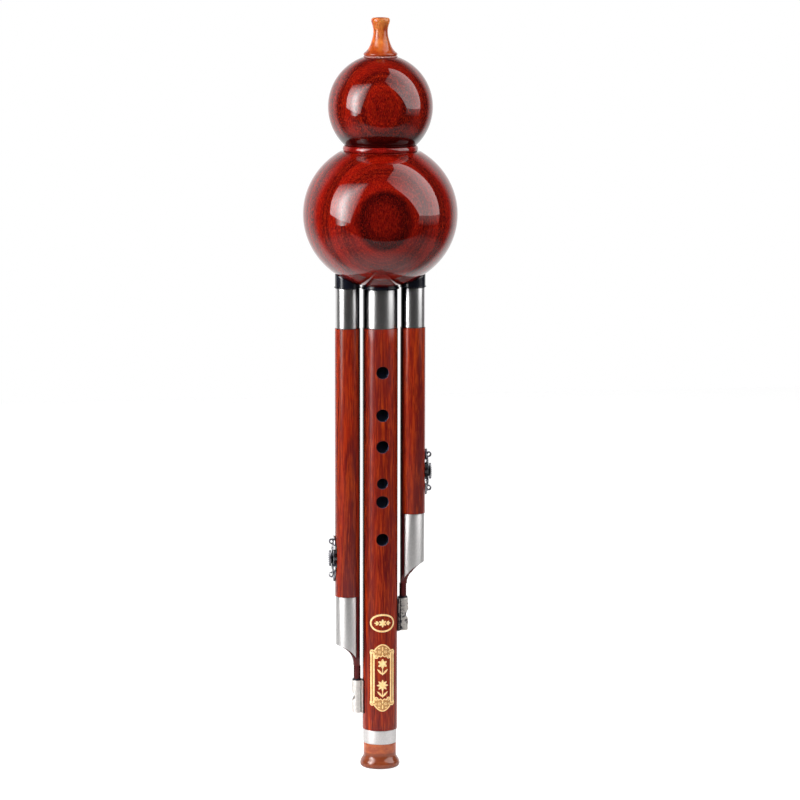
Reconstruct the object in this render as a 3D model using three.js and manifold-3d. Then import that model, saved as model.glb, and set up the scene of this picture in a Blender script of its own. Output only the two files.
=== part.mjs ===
// Hulusi: a gourd flute with a fingered main pipe and two drone pipes, each with a free reed.
// Millimetres, +Z up. The origin is the centre of the foot's underside, on the main pipe's axis.
// The finger holes face -Y, the left drone pipe stands at -X and the right one at +X.

import * as THREE from "three";
import { mergeVertices } from "three/addons/utils/BufferGeometryUtils.js";
import Module from "manifold-3d";

const wasm = await Module();
wasm.setup();

// Clearances
const gap = 0.3; // between pieces that meet on cut or unlike faces
const fit = 0.1; // between round pieces that share an axis
const seat = 0.05; // between flat faces that rest on each other
const overrun = 1; // how far a cutting shape runs past what it cuts

// Facets round a full turn
const bulbSides = 24;
const pipeSides = 20;
const smallSides = 12;
const pinSides = 8;
const outlineSteps = 4; // along each curve of a cut-out outline
const upperBulbSteps = { outer: 11, inner: 6 }; // from pole to pole
const lowerBulbSteps = { outer: 14, inner: 9 };
const mouthpieceSteps = { flare: 6, lip: 3 };
const footSteps = { rim: 3, flare: 4 };

// Driving dimensions of the pipes
const mainPipe = { radius: 10.5, boreRadius: 6.5, length: 242.8, tailDepth: 9, grooveDepth: 1.1 };
const dronePipe = { radius: 7.5, boreRadius: 3.5, boreEndDrop: 17, grooveDepth: 1.05 };
const pipeGap = 1.64; // between the main pipe's side and a drone pipe's side
const pipeSpacing = mainPipe.radius + pipeGap + dronePipe.radius;
const fingerHoleRadius = 3.75;
const fingerHoleHeightShares = [0.893, 0.7875, 0.7096, 0.6186, 0.5733, 0.4794];
const fingerHoleRadiusShares = [1, 1, 1, 0.88, 1, 1];
const thumbHoleHeightShare = 0.945;
const ventHoleHeightShare = 0.3;

// Driving dimensions of the foot and its band
const band = { height: 8.5, inset: 0.43, wall: 1.17 };
const bandRadius = mainPipe.radius - band.inset;
const mainTailRadius = bandRadius - band.wall;
const foot = {
  height: 15,
  inset: 0.6,
  flare: 1.97,
  flareHeight: 2.2,
  flareStart: 7,
  mouthChamfer: 0.7,
  mouthDepth: 2.5,
  rimWidth: 2.2,
};
const footTopRadius = mainPipe.radius - foot.inset;
const footMouthRadius = mainPipe.boreRadius + foot.mouthChamfer;

// Driving dimensions of the drone pipes' tails
const drones = {
  left: { turn: Math.PI, sleeveDrop: 161.4, switchRise: 23.1 },
  right: { turn: 0, sleeveDrop: 111.8, switchRise: 24.9 },
};
const tail = {
  sleeveInset: 0.45,
  sleeveWall: 0.6,
  sleeveScoopRadius: 22.5,
  tipDrop: 29.3, // from the sleeve's top down to the tip where both scoops start
  scoopRadius: 13.6,
  cheekRadius: 9,
  slotHalfAngle: THREE.MathUtils.degToRad(53),
};
const sleeveRadius = dronePipe.radius - tail.sleeveInset;
const peg = { radius: 2.1, standOut: 0.35, tenonInset: 0.9, tenonLength: 5, depthInClip: 4.6 };
const pegOffset = dronePipe.radius + peg.standOut - peg.radius; // towards the main pipe
const pegTenonRadius = peg.radius - peg.tenonInset;
const clip = {
  topDrop: 51.6, // from the sleeve's top down to the clip's top
  height: 19.85,
  boreClearance: 0.25,
  barrelWall: 0.7,
  floor: 1.2,
  saddleWall: 0.8,
  saddleHalfAngle: THREE.MathUtils.degToRad(20),
  accessInset: 0.45,
  padWall: 0.5,
};
const clipBoreRadius = peg.radius + clip.boreClearance;
const barrelRadius = clipBoreRadius + clip.barrelWall;
const bush = { wall: 0.45, depth: 3, flange: 0.2, flangeHeight: 0.9 };
const bushRadius = peg.radius + fit + bush.wall;
const clipScrew = { shankRadius: 0.9, headRadius: 1.3, headHeight: 0.9 };
const clipScrewBiteShare = 0.8; // of the main pipe's wall

// Driving dimensions of a drone's sliding switch
const slider = {
  travel: 3.3, // each way from the middle
  footHalfWidth: 2.7,
  footHalfLength: 3.4,
  footWall: 0.5,
  neckHalfWidth: 1.2,
  neckHalfLength: 3,
  thumbHalfWidth: 2.6,
  thumbHalfLength: 4.8,
  thumbWall: 1.35,
  thumbLift: 0.7,
};
const padWall = 0.45;
const slot = { sideGap: 0.3, endGap: 0.4 };
const slotHalfWidth = slider.neckHalfWidth + slot.sideGap;
const slotHalfLength = slider.neckHalfLength + slider.travel + slot.endGap;
const channel = { sideGap: 0.5, endGap: 0.9, roofGap: 0.15 };
const channelHalfWidth = slider.footHalfWidth + channel.sideGap;
const channelHalfLength = slider.footHalfLength + slider.travel + channel.endGap;
const channelDepth = padWall + fit + slider.footWall + channel.roofGap;
const scroll = { height: 3.3, halfWidth: 2.6, rise: 2, endGap: 0.4 };
const scrollStart = slider.thumbHalfLength + slider.travel + scroll.endGap;
const plate = { halfWidth: 4.2, waist: 3, roofWall: 0.6, tip: 2.4 };
const plateHalfHeight = scrollStart + scroll.height + plate.tip;
const toneHole = { radius: 1.4, rise: 1.6 };
const platePin = { shankRadius: 0.5, headRadius: 0.9, headHeight: 0.45, bite: 1, inset: 1.35 };

// Driving dimensions of the joints at the gourd
const tenonLength = 15;
const corkLength = 9;
const mainJoint = {
  inset: 0.2, // of the ferrule's side from the pipe's side
  wall: 0.7,
  barrel: 23.3,
  shoulder: 1.5,
  collarWall: 1.3,
  skirt: 0.3,
  flange: 0.6,
  flangeHeight: 1.2,
  collarStandIn: 2.8, // past the bulb's wall, into the bulb
  neckStandOut: 1.8,
};
const droneJoint = {
  inset: 0.35,
  wall: 0.6,
  barrel: 24.1,
  shoulder: 1.25,
  collarWall: 1.1,
  skirt: 0.3,
  flange: 0.45,
  flangeHeight: 0.6,
  collarStandIn: 1.6,
  neckStandOut: 1.9,
};

// Driving dimensions of the reeds
const reedWall = 0.4;
const reedSlit = 0.25;
const reedMargin = 0.2; // beside the reed, on the flat that it lies on
const mainReedTube = {
  radius: 5,
  wall: 1.4,
  length: 50,
  flatDepth: 0.9,
  lip: 1.2,
  reedLength: 21,
};
const droneReedTube = {
  radius: 4,
  wall: 1.2,
  length: 38,
  flatDepth: 0.8,
  lip: 1.2,
  reedLength: 17,
};
const reedPlug = { headHeight: 1.6, spigotLength: 4 };
const tongueWidthShare = 0.52;
const tongueLengthShare = 0.72;
const reedCentreShare = 0.6;

// Driving dimensions of the gourd and the mouthpiece
const lowerBulb = { radius: 45.85, halfHeight: 43.5, wall: 2.8, standOff: 0.9 };
const upperBulb = { radius: 31, wall: 2.5 };
const neck = {
  radius: 22.2,
  height: 3.5,
  lowerLedge: 1.4,
  upperInset: 1.1,
  spigotRadius: 15,
  spigotWall: 2.5,
  landHeight: 4,
};
const mouthpiece = {
  height: 22.5,
  baseRadius: 9.8,
  waistRadius: 4.12,
  lipRadius: 5.55,
  rimRadius: 4.7,
  boreRadius: 2.2,
  tenonRadius: 5,
  tenonLength: 8,
};
const mouthpieceLedge = 0.9; // of the upper bulb's flat top round the mouthpiece
const mouthpieceSeatRadius = mouthpiece.baseRadius + mouthpieceLedge;
const washer = { standOut: 0.3, height: 0.75 };
const mouthpieceHeightShares = { edge: 0.07, waist: 0.613, lip: 0.93 };
const flarePower = 1.9;
const lipPower = 1.7;

// Heights that follow from the driving dimensions
const pipeBottom = foot.height + band.height;
const pipeTop = pipeBottom + mainPipe.length;
const tenonTop = pipeTop + tenonLength;
const lowerCentre = pipeTop + mainJoint.barrel + lowerBulb.standOff + lowerBulb.halfHeight;
const lowerSeatRadius = neck.radius + neck.lowerLedge;
const ringBottom = lowerCentre + heightAt(lowerBulb.radius, lowerBulb.halfHeight, lowerSeatRadius);
const ringTop = ringBottom + neck.height;
const upperSeatRadius = neck.radius - neck.upperInset;
const upperCentre = ringTop + heightAt(upperBulb.radius, upperBulb.radius, upperSeatRadius);
const bulbTop = upperCentre + heightAt(upperBulb.radius, upperBulb.radius, mouthpieceSeatRadius);
const mouthpieceBottom = bulbTop + washer.height + 2 * seat;
const mainSocket = socketSizes(mainPipe, mainJoint, 0);
const leftSocket = socketSizes(dronePipe, droneJoint, -pipeSpacing);
const rightSocket = socketSizes(dronePipe, droneJoint, pipeSpacing);

// Colours and finishes
const rosewoodGourd = material(0x4a1512, 0.25, 0);
const rosewoodPipe = material(0x96301c, 0.35, 0);
const nickelSilver = material(0xb9b4ad, 0.3, 1);
const castSilver = material(0xa9a49c, 0.4, 1);
const amber = material(0xc4541c, 0.2, 0);
const darkAmber = material(0x8a3a18, 0.25, 0);
const blackRubber = material(0x0c0c0d, 0.5, 0);
const cork = material(0xb98a5a, 0.9, 0);
const brass = material(0xc79a4a, 0.3, 1);

// A ferrule is a little slimmer than its pipe, and its neck passes through its collar.
// The collar's plug fills the space round the neck, and its skirt covers the barrel's end.
function socketSizes(pipe, joint, x) {
  const radius = pipe.radius - joint.inset;
  const neckRadius = radius - joint.shoulder;
  const plugRadius = neckRadius + joint.collarWall;
  const bodyRadius = radius + joint.skirt;
  const ferruleTop = pipeTop + joint.barrel;
  const innerRadius = lowerBulb.radius - lowerBulb.wall;
  const innerHalfHeight = lowerBulb.halfHeight - lowerBulb.wall;
  const reach = Math.abs(x) + plugRadius;
  const holeTop = lowerCentre - heightAt(innerRadius, innerHalfHeight, reach);
  const collarTop = holeTop + joint.collarStandIn;
  return {
    x,
    pipe,
    radius,
    barrelInner: radius - joint.wall,
    neckRadius,
    neckInner: neckRadius - joint.wall,
    ferruleTop,
    ferruleStep: ferruleTop - joint.wall,
    neckTop: collarTop + joint.neckStandOut,
    plugRadius,
    bodyRadius,
    flangeRadius: bodyRadius + joint.flange,
    flangeHeight: joint.flangeHeight,
    collarTop,
  };
}

function material(color, roughness, metalness) {
  return new THREE.MeshStandardMaterial({ color, roughness, metalness });
}

// Height above its centre at which an ellipse has the given half width.
function heightAt(radius, halfHeight, halfWidth) {
  return halfHeight * Math.sqrt(1 - (halfWidth / radius) ** 2);
}

// A closed geometry as a solid that can be joined and cut.
function solid(geometry) {
  const bare = geometry.index ? geometry.toNonIndexed() : geometry.clone();
  bare.deleteAttribute("normal");
  bare.deleteAttribute("uv");
  const merged = mergeVertices(bare);
  return new wasm.Manifold(
    new wasm.Mesh({
      numProp: 3,
      vertProperties: merged.attributes.position.array,
      triVerts: new Uint32Array(merged.index.array),
    }),
  );
}

// A solid back as a geometry.
function geometryOf(made) {
  const mesh = made.getMesh();
  const geometry = new THREE.BufferGeometry();
  geometry.setAttribute("position", new THREE.BufferAttribute(mesh.vertProperties, mesh.numProp));
  geometry.setIndex(new THREE.BufferAttribute(mesh.triVerts, 1));
  return geometry;
}

// Turns an outline of [radius, height] pairs about the Z axis.
// An outline that doesn't start and end on the axis is closed into a ring.
function turned(outline, sides) {
  const points = outline.map(([radius, height]) => new THREE.Vector2(radius, height));
  if (THREE.ShapeUtils.area(points) < 0) points.reverse();
  if (outline[0][0] > 0) points.push(points[0].clone());
  return new THREE.LatheGeometry(points, sides).rotateX(Math.PI / 2);
}

// A plain ring between two radii and two heights.
function ring(innerRadius, outerRadius, bottom, top, sides) {
  const outline = [
    [innerRadius, bottom],
    [outerRadius, bottom],
    [outerRadius, top],
    [innerRadius, top],
  ];
  return turned(outline, sides);
}

// A round bar between two points.
function bar(radius, from, to, sides) {
  const along = to.clone().sub(from);
  const up = new THREE.Vector3(0, 1, 0);
  const turn = new THREE.Quaternion().setFromUnitVectors(up, along.clone().normalize());
  const middle = from.clone().add(to).multiplyScalar(0.5);
  return new THREE.CylinderGeometry(radius, radius, along.length(), sides)
    .applyQuaternion(turn)
    .translate(middle.x, middle.y, middle.z);
}

// A box between two corners.
function block(low, high) {
  const size = high.clone().sub(low);
  const middle = low.clone().add(high).multiplyScalar(0.5);
  return new THREE.BoxGeometry(size.x, size.y, size.z).translate(middle.x, middle.y, middle.z);
}

// A wedge about the Z axis, centred on a direction, from the axis out to a radius.
function wedge(radius, direction, halfAngle, bottom, top) {
  const start = direction - halfAngle;
  const shape = new THREE.Shape();
  shape.moveTo(0, 0);
  shape.lineTo(radius * Math.cos(start), radius * Math.sin(start));
  shape.absarc(0, 0, radius, start, direction + halfAngle);
  shape.closePath();
  const settings = { depth: top - bottom, bevelEnabled: false, curveSegments: outlineSteps };
  return new THREE.ExtrudeGeometry(shape, settings).translate(0, 0, bottom);
}

// A flat outline in Y and Z, pushed out along +X from one distance to another.
function pushedOut(shape, from, to) {
  const settings = { depth: to - from, bevelEnabled: false, curveSegments: outlineSteps };
  return new THREE.ExtrudeGeometry(shape, settings)
    .rotateY(Math.PI / 2)
    .rotateX(Math.PI / 2)
    .translate(from, 0, 0);
}

function vector(x, y, z) {
  return new THREE.Vector3(x, y, z);
}

function piece(name, geometry, look) {
  const mesh = new THREE.Mesh(geometry, look);
  mesh.name = name;
  return mesh;
}

// Evenly spaced values from 0 to 1, both ends included.
function steps(count) {
  return Array.from({ length: count + 1 }, (_, index) => index / count);
}

// Points of an ellipse's edge from one latitude to another.
function meridian(radius, halfHeight, centre, fromLatitude, toLatitude, count) {
  return steps(count).map((share) => {
    const latitude = fromLatitude + (toLatitude - fromLatitude) * share;
    return [Math.max(0, radius * Math.cos(latitude)), centre + halfHeight * Math.sin(latitude)];
  });
}

// The gourd

function upperBulbShell() {
  const inner = upperBulb.radius - upperBulb.wall;
  const socketRadius = neck.spigotRadius + fit;
  const holeRadius = mouthpiece.tenonRadius + fit;
  const landTop = ringTop + neck.landHeight;
  const outer = meridian(
    upperBulb.radius,
    upperBulb.radius,
    upperCentre,
    -Math.acos(upperSeatRadius / upperBulb.radius),
    Math.acos(mouthpieceSeatRadius / upperBulb.radius),
    upperBulbSteps.outer,
  );
  const crownBottom = bulbTop - upperBulb.wall;
  const hollow = meridian(
    inner,
    inner,
    upperCentre,
    Math.asin((crownBottom - upperCentre) / inner),
    -Math.asin((upperCentre - landTop) / inner),
    upperBulbSteps.inner,
  );
  const outline = [
    [socketRadius, ringTop],
    ...outer,
    [holeRadius, bulbTop],
    [holeRadius, crownBottom],
    ...hollow,
    [socketRadius, landTop],
  ];
  return turned(outline, bulbSides);
}

// The lower bulb's outer outline from its bottom to the neck, grown by the given amount.
function lowerBulbOutline(growth) {
  return meridian(
    lowerBulb.radius + growth,
    lowerBulb.halfHeight + growth,
    lowerCentre,
    -Math.PI / 2,
    Math.acos(lowerSeatRadius / lowerBulb.radius),
    lowerBulbSteps.outer,
  );
}

// The lower bulb's outer surface as a solid, grown all round by the given amount.
function lowerBulbBlank(growth) {
  return turned([...lowerBulbOutline(growth), [0, ringBottom]], bulbSides);
}

function lowerBulbShell() {
  const innerRadius = lowerBulb.radius - lowerBulb.wall;
  const innerHalfHeight = lowerBulb.halfHeight - lowerBulb.wall;
  const spigotTop = ringTop + neck.landHeight - gap;
  const throat = neck.spigotRadius - neck.spigotWall;
  const crownBottom = ringBottom - lowerBulb.wall;
  const hollow = meridian(
    innerRadius,
    innerHalfHeight,
    lowerCentre,
    Math.asin((crownBottom - lowerCentre) / innerHalfHeight),
    -Math.PI / 2,
    lowerBulbSteps.inner,
  );
  const outline = [
    ...lowerBulbOutline(0),
    [neck.spigotRadius, ringBottom],
    [neck.spigotRadius, spigotTop],
    [throat, spigotTop],
    [throat, crownBottom],
    ...hollow,
  ];
  const bottom = lowerCentre - lowerBulb.halfHeight;
  let shell = solid(turned(outline, bulbSides));
  for (const { x, plugRadius } of [mainSocket, leftSocket, rightSocket]) {
    const from = vector(x, 0, bottom - overrun);
    const to = vector(x, 0, lowerCentre);
    shell = shell.subtract(solid(bar(plugRadius + fit, from, to, pipeSides)));
  }
  return geometryOf(shell);
}

function neckRing() {
  return ring(neck.spigotRadius + fit, neck.radius, ringBottom + seat, ringTop - seat, bulbSides);
}

// The mouthpiece flares from a slim waist to its base and swells into a lip at the top.
function mouthpieceShape() {
  const { height, baseRadius, waistRadius, lipRadius, rimRadius, boreRadius } = mouthpiece;
  const { edge, waist, lip } = mouthpieceHeightShares;
  const flare = steps(mouthpieceSteps.flare).map((share) => [
    waistRadius + (baseRadius - waistRadius) * (1 - share) ** flarePower,
    mouthpieceBottom + height * (edge + (waist - edge) * share),
  ]);
  const swell = steps(mouthpieceSteps.lip)
    .slice(1)
    .map((share) => [
      waistRadius + (lipRadius - waistRadius) * share ** lipPower,
      mouthpieceBottom + height * (waist + (lip - waist) * share),
    ]);
  const tenonBottom = mouthpieceBottom - mouthpiece.tenonLength;
  const outline = [
    [boreRadius, tenonBottom],
    [mouthpiece.tenonRadius, tenonBottom],
    [mouthpiece.tenonRadius, mouthpieceBottom],
    [baseRadius, mouthpieceBottom],
    ...flare,
    ...swell,
    [rimRadius, mouthpieceBottom + height],
    [boreRadius, mouthpieceBottom + height],
  ];
  return turned(outline, pipeSides);
}

function mouthpieceWasher() {
  const bottom = bulbTop + seat;
  const radius = mouthpiece.baseRadius + washer.standOut;
  return ring(mouthpiece.tenonRadius + fit, radius, bottom, bottom + washer.height, pipeSides);
}

// The joints between the gourd and the pipes

// A rubber collar fills the gourd's hole, and outside it is shaped to the gourd's surface.
function collarShape(socket) {
  const bottom = socket.ferruleTop + seat;
  const innerRadius = socket.neckRadius + fit;
  const top = socket.collarTop;
  const skirt = [
    [innerRadius, bottom],
    [socket.flangeRadius, bottom],
    [socket.flangeRadius, bottom + socket.flangeHeight],
    [socket.bodyRadius, bottom + socket.flangeHeight],
    [socket.bodyRadius, top],
    [innerRadius, top],
  ];
  const outside = solid(turned(skirt, pipeSides).translate(socket.x, 0, 0)).subtract(
    solid(lowerBulbBlank(fit)),
  );
  const plug = ring(innerRadius, socket.plugRadius, bottom, top, pipeSides);
  return geometryOf(outside.add(solid(plug.translate(socket.x, 0, 0))));
}

// A stepped metal sleeve: the pipe's tenon enters its barrel, and its neck stands in the gourd.
function ferruleShape(socket) {
  const outline = [
    [socket.barrelInner, pipeTop + seat],
    [socket.radius, pipeTop + seat],
    [socket.radius, socket.ferruleTop],
    [socket.neckRadius, socket.ferruleTop],
    [socket.neckRadius, socket.neckTop],
    [socket.neckInner, socket.neckTop],
    [socket.neckInner, socket.ferruleStep],
    [socket.barrelInner, socket.ferruleStep],
  ];
  return turned(outline, pipeSides);
}

// The reed tube plugs into the ferrule's neck. Its front has a flat with a window for the reed.
function reedTubeShape(tube, socket) {
  const baseRadius = socket.neckInner - fit;
  const boreRadius = tube.radius - tube.wall;
  const lipBottom = socket.neckTop + seat;
  const lipTop = lipBottom + tube.lip;
  const top = reedTubeTop(tube, socket);
  const outline = [
    [boreRadius, socket.ferruleStep],
    [baseRadius, socket.ferruleStep],
    [baseRadius, lipBottom],
    [socket.neckRadius, lipBottom],
    [socket.neckRadius, lipTop],
    [tube.radius, lipTop],
    [tube.radius, top],
    [boreRadius, top],
  ];
  const centre = reedCentre(tube, socket);
  const halfFlat = tube.reedLength / 2 + gap;
  const halfWindow = (tube.reedLength * tongueLengthShare) / 2;
  const halfTongue = reedHalfWidth(tube) * tongueWidthShare;
  const flatFace = tube.flatDepth - tube.radius;
  const flat = block(
    vector(-tube.radius, -tube.radius - overrun, centre - halfFlat),
    vector(tube.radius, flatFace, centre + halfFlat),
  );
  const window = block(
    vector(-halfTongue, flatFace - overrun, centre - halfWindow),
    vector(halfTongue, 0, centre + halfWindow),
  );
  const body = solid(turned(outline, pipeSides));
  return geometryOf(body.subtract(solid(flat)).subtract(solid(window)));
}

function reedTubeTop(tube, socket) {
  return socket.neckTop + seat + tube.lip + tube.length;
}

function reedCentre(tube, socket) {
  return reedTubeTop(tube, socket) - tube.length * (1 - reedCentreShare);
}

// The reed is a little narrower than the flat that it lies on.
function reedHalfWidth(tube) {
  return Math.sqrt(tube.radius ** 2 - (tube.radius - tube.flatDepth) ** 2) - reedMargin;
}

// A brass plate whose pointed tongue is cut free on two sides and bends with the breath.
function reedShape(tube, socket) {
  const halfWidth = reedHalfWidth(tube);
  const halfLength = tube.reedLength / 2;
  const tongueRoot = (-tube.reedLength * tongueLengthShare) / 2 + reedSlit;
  const tongueTip = -tongueRoot;
  const halfRoot = halfWidth * tongueWidthShare - reedSlit;
  const slitRise = (reedSlit * (tongueTip - tongueRoot)) / halfRoot;
  const shape = new THREE.Shape();
  shape.moveTo(-halfWidth, -halfLength);
  shape.lineTo(halfWidth, -halfLength);
  shape.lineTo(halfWidth, halfLength);
  shape.lineTo(-halfWidth, halfLength);
  shape.closePath();
  const cut = new THREE.Path();
  cut.moveTo(-halfRoot, tongueRoot);
  cut.lineTo(0, tongueTip);
  cut.lineTo(halfRoot, tongueRoot);
  cut.lineTo(halfRoot - reedSlit, tongueRoot);
  cut.lineTo(0, tongueTip - slitRise);
  cut.lineTo(reedSlit - halfRoot, tongueRoot);
  cut.closePath();
  shape.holes.push(cut);
  const face = tube.flatDepth - tube.radius - seat;
  return new THREE.ExtrudeGeometry(shape, { depth: reedWall, bevelEnabled: false })
    .rotateX(Math.PI / 2)
    .translate(0, face, reedCentre(tube, socket));
}

function reedPlugShape(tube, socket) {
  const tubeTop = reedTubeTop(tube, socket);
  const spigotRadius = tube.radius - tube.wall - fit;
  const outline = [
    [0, tubeTop - reedPlug.spigotLength],
    [spigotRadius, tubeTop - reedPlug.spigotLength],
    [spigotRadius, tubeTop + seat],
    [tube.radius, tubeTop + seat],
    [tube.radius, tubeTop + reedPlug.headHeight],
    [0, tubeTop + reedPlug.headHeight],
  ];
  return turned(outline, smallSides);
}

// The tenon at the top of a pipe, as the end of the pipe's outline, with a groove for its cork.
function tenonOutline(pipe, socket) {
  const radius = socket.barrelInner - gap;
  const corkBottom = pipeTop + (tenonLength - corkLength) / 2;
  const corkTop = corkBottom + corkLength;
  return [
    [pipe.radius, pipeTop],
    [radius, pipeTop],
    [radius, corkBottom],
    [radius - pipe.grooveDepth, corkBottom],
    [radius - pipe.grooveDepth, corkTop],
    [radius, corkTop],
    [radius, tenonTop],
    [pipe.boreRadius, tenonTop],
  ];
}

function tenonCorkShape(socket) {
  const corkBottom = pipeTop + (tenonLength - corkLength) / 2;
  return ring(
    socket.barrelInner - gap - socket.pipe.grooveDepth + fit,
    socket.barrelInner - fit,
    corkBottom + seat,
    corkBottom + corkLength - seat,
    pipeSides,
  );
}

// The main pipe

function clipScrewHeight(drone) {
  return clipTop(drone) - clip.height / 2;
}

function mainTube() {
  const outline = [
    [mainPipe.boreRadius, foot.height - mainPipe.tailDepth],
    [mainTailRadius, foot.height - mainPipe.tailDepth],
    [mainTailRadius, pipeBottom],
    [mainPipe.radius, pipeBottom],
    ...tenonOutline(mainPipe, mainSocket),
  ];
  let tube = solid(turned(outline, pipeSides));
  const front = -mainPipe.radius - overrun;
  const drill = (radius, reach, heightShare) => {
    const height = pipeBottom + mainPipe.length * heightShare;
    const hole = bar(radius, vector(0, reach, height), vector(0, 0, height), smallSides);
    tube = tube.subtract(solid(hole));
  };
  fingerHoleHeightShares.forEach((heightShare, index) => {
    drill(fingerHoleRadius * fingerHoleRadiusShares[index], front, heightShare);
  });
  drill(fingerHoleRadius, -front, thumbHoleHeightShare);
  drill(fingerHoleRadius, -front, ventHoleHeightShare);
  for (const drone of Object.values(drones)) {
    const height = clipScrewHeight(drone);
    const outward = Math.cos(drone.turn);
    const from = vector(outward * (mainPipe.radius + overrun), 0, height);
    const to = vector(outward * (clipScrewTip() - gap), 0, height);
    tube = tube.subtract(solid(bar(clipScrew.shankRadius + fit, from, to, pinSides)));
  }
  return geometryOf(tube);
}

function footBand() {
  const innerRadius = mainTailRadius + fit;
  return ring(innerRadius, bandRadius, foot.height + seat, pipeBottom - seat, pipeSides);
}

// The foot swells into a rounded flare at its mouth, and a socket takes the pipe's tail.
function footBell() {
  const flareRadius = footTopRadius + foot.flare;
  const rimRadius = footMouthRadius + foot.rimWidth;
  const rounded = steps(footSteps.rim).map((share) => {
    const angle = (Math.PI / 2) * share;
    return [
      rimRadius + (flareRadius - rimRadius) * Math.sin(angle),
      foot.flareHeight * (1 - Math.cos(angle)),
    ];
  });
  const narrowing = steps(footSteps.flare)
    .slice(1)
    .map((share) => [
      footTopRadius + (foot.flare * (1 + Math.cos(Math.PI * share))) / 2,
      foot.flareHeight + (foot.flareStart - foot.flareHeight) * share,
    ]);
  const socketRadius = mainTailRadius + fit;
  const socketBottom = foot.height - mainPipe.tailDepth - seat;
  const outline = [
    [footMouthRadius, 0],
    ...rounded,
    ...narrowing,
    [footTopRadius, foot.height],
    [socketRadius, foot.height],
    [socketRadius, socketBottom],
    [mainPipe.boreRadius, socketBottom],
    [mainPipe.boreRadius, foot.mouthDepth],
  ];
  return turned(outline, pipeSides);
}

// The clips on the main pipe that hold the drone pipes' tails.
// They are built in the right drone pipe's place, with +X pointing away from the main pipe.

function clipTop(drone) {
  return sleeveTop(drone) - clip.topDrop;
}

function clipPadRadius() {
  return mainPipe.radius + fit + clip.padWall;
}

// The part of a round wall about the main pipe's axis that a clip's saddle covers.
function saddleWall(innerRadius, outerRadius, drone) {
  const top = clipTop(drone);
  const bottom = top - clip.height;
  const wall = solid(ring(innerRadius, outerRadius, bottom, top, 2 * pipeSides));
  const cover = wedge(
    outerRadius + overrun,
    0,
    clip.saddleHalfAngle,
    bottom - overrun,
    top + overrun,
  );
  return wall.intersect(solid(cover));
}

// Distance from the main pipe's axis at which a clip screw's shank ends.
function clipScrewTip() {
  return mainPipe.radius - (mainPipe.radius - mainPipe.boreRadius) * clipScrewBiteShare;
}

// Distance from the main pipe's axis at which a clip screw's head starts.
function screwHeadFace() {
  return pipeSpacing - pegOffset - clipBoreRadius + fit;
}

function screwHole(drone, radius, reach) {
  const height = clipScrewHeight(drone);
  return solid(bar(radius, vector(0, 0, height), vector(reach, 0, height), smallSides));
}

function tailClip(drone) {
  const top = clipTop(drone);
  const bottom = top - clip.height;
  const bushSeat = top - bush.depth;
  const barrelX = pipeSpacing - pegOffset;
  const saddleRadius = clipPadRadius() + fit;
  const barrel = [
    [0, bottom],
    [barrelRadius, bottom],
    [barrelRadius, top],
    [0, top],
  ];
  const hollow = [
    [0, bottom + clip.floor],
    [clipBoreRadius, bottom + clip.floor],
    [clipBoreRadius, bushSeat - seat],
    [bushRadius + fit, bushSeat - seat],
    [bushRadius + fit, top + overrun],
    [0, top + overrun],
  ];
  const nearPipe = ring(
    mainPipe.boreRadius,
    saddleRadius,
    bottom - overrun,
    top + overrun,
    2 * pipeSides,
  );
  const access = bar(
    barrelRadius - clip.accessInset,
    vector(barrelX, 0, clipScrewHeight(drone)),
    vector(barrelX + barrelRadius + overrun, 0, clipScrewHeight(drone)),
    smallSides,
  );
  const headSeat = bar(
    clipScrew.headRadius + fit,
    vector(screwHeadFace() - seat, 0, clipScrewHeight(drone)),
    vector(barrelX, 0, clipScrewHeight(drone)),
    smallSides,
  );
  const made = solid(turned(barrel, smallSides).translate(barrelX, 0, 0))
    .subtract(solid(nearPipe))
    .add(saddleWall(saddleRadius, saddleRadius + clip.saddleWall, drone))
    .subtract(solid(turned(hollow, smallSides).translate(barrelX, 0, 0)))
    .subtract(solid(access))
    .subtract(solid(headSeat))
    .subtract(screwHole(drone, clipScrew.shankRadius + fit, barrelX));
  return geometryOf(made);
}

function clipPad(drone) {
  const wall = saddleWall(mainPipe.radius + fit, clipPadRadius(), drone);
  return geometryOf(wall.subtract(screwHole(drone, clipScrew.shankRadius + fit, pipeSpacing)));
}

function stemBush(drone) {
  const top = clipTop(drone);
  const outline = [
    [peg.radius + fit, top - bush.depth],
    [bushRadius, top - bush.depth],
    [bushRadius, top + seat],
    [bushRadius + bush.flange, top + seat],
    [bushRadius + bush.flange, top + bush.flangeHeight],
    [peg.radius + fit, top + bush.flangeHeight],
  ];
  return turned(outline, smallSides).translate(pipeSpacing - pegOffset, 0, 0);
}

function clipScrewShape(drone) {
  const height = clipScrewHeight(drone);
  const headFace = screwHeadFace();
  const tip = vector(clipScrewTip(), 0, height);
  const neckEnd = vector(headFace + clipScrew.headHeight / 2, 0, height);
  const head = bar(
    clipScrew.headRadius,
    vector(headFace, 0, height),
    vector(headFace + clipScrew.headHeight, 0, height),
    pinSides,
  );
  return geometryOf(solid(bar(clipScrew.shankRadius, tip, neckEnd, pinSides)).add(solid(head)));
}

// A drone pipe, built about its own axis, with +X pointing away from the main pipe.

function sleeveTop(drone) {
  return pipeTop - drone.sleeveDrop;
}

function tipHeight(drone) {
  return sleeveTop(drone) - tail.tipDrop;
}

function switchHeight(drone) {
  return sleeveTop(drone) + drone.switchRise;
}

function scoopX() {
  return peg.radius - pegOffset + tail.scoopRadius;
}

function tailBottom(drone) {
  return tipHeight(drone) - Math.sqrt(tail.scoopRadius ** 2 - (scoopX() - dronePipe.radius) ** 2);
}

// A bar across the pipe that hollows out the tail's outer side.
function scoop(radius, x, height) {
  const reach = dronePipe.radius + overrun;
  return solid(bar(radius, vector(x, -reach, height), vector(x, reach, height), 2 * pipeSides));
}

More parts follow.
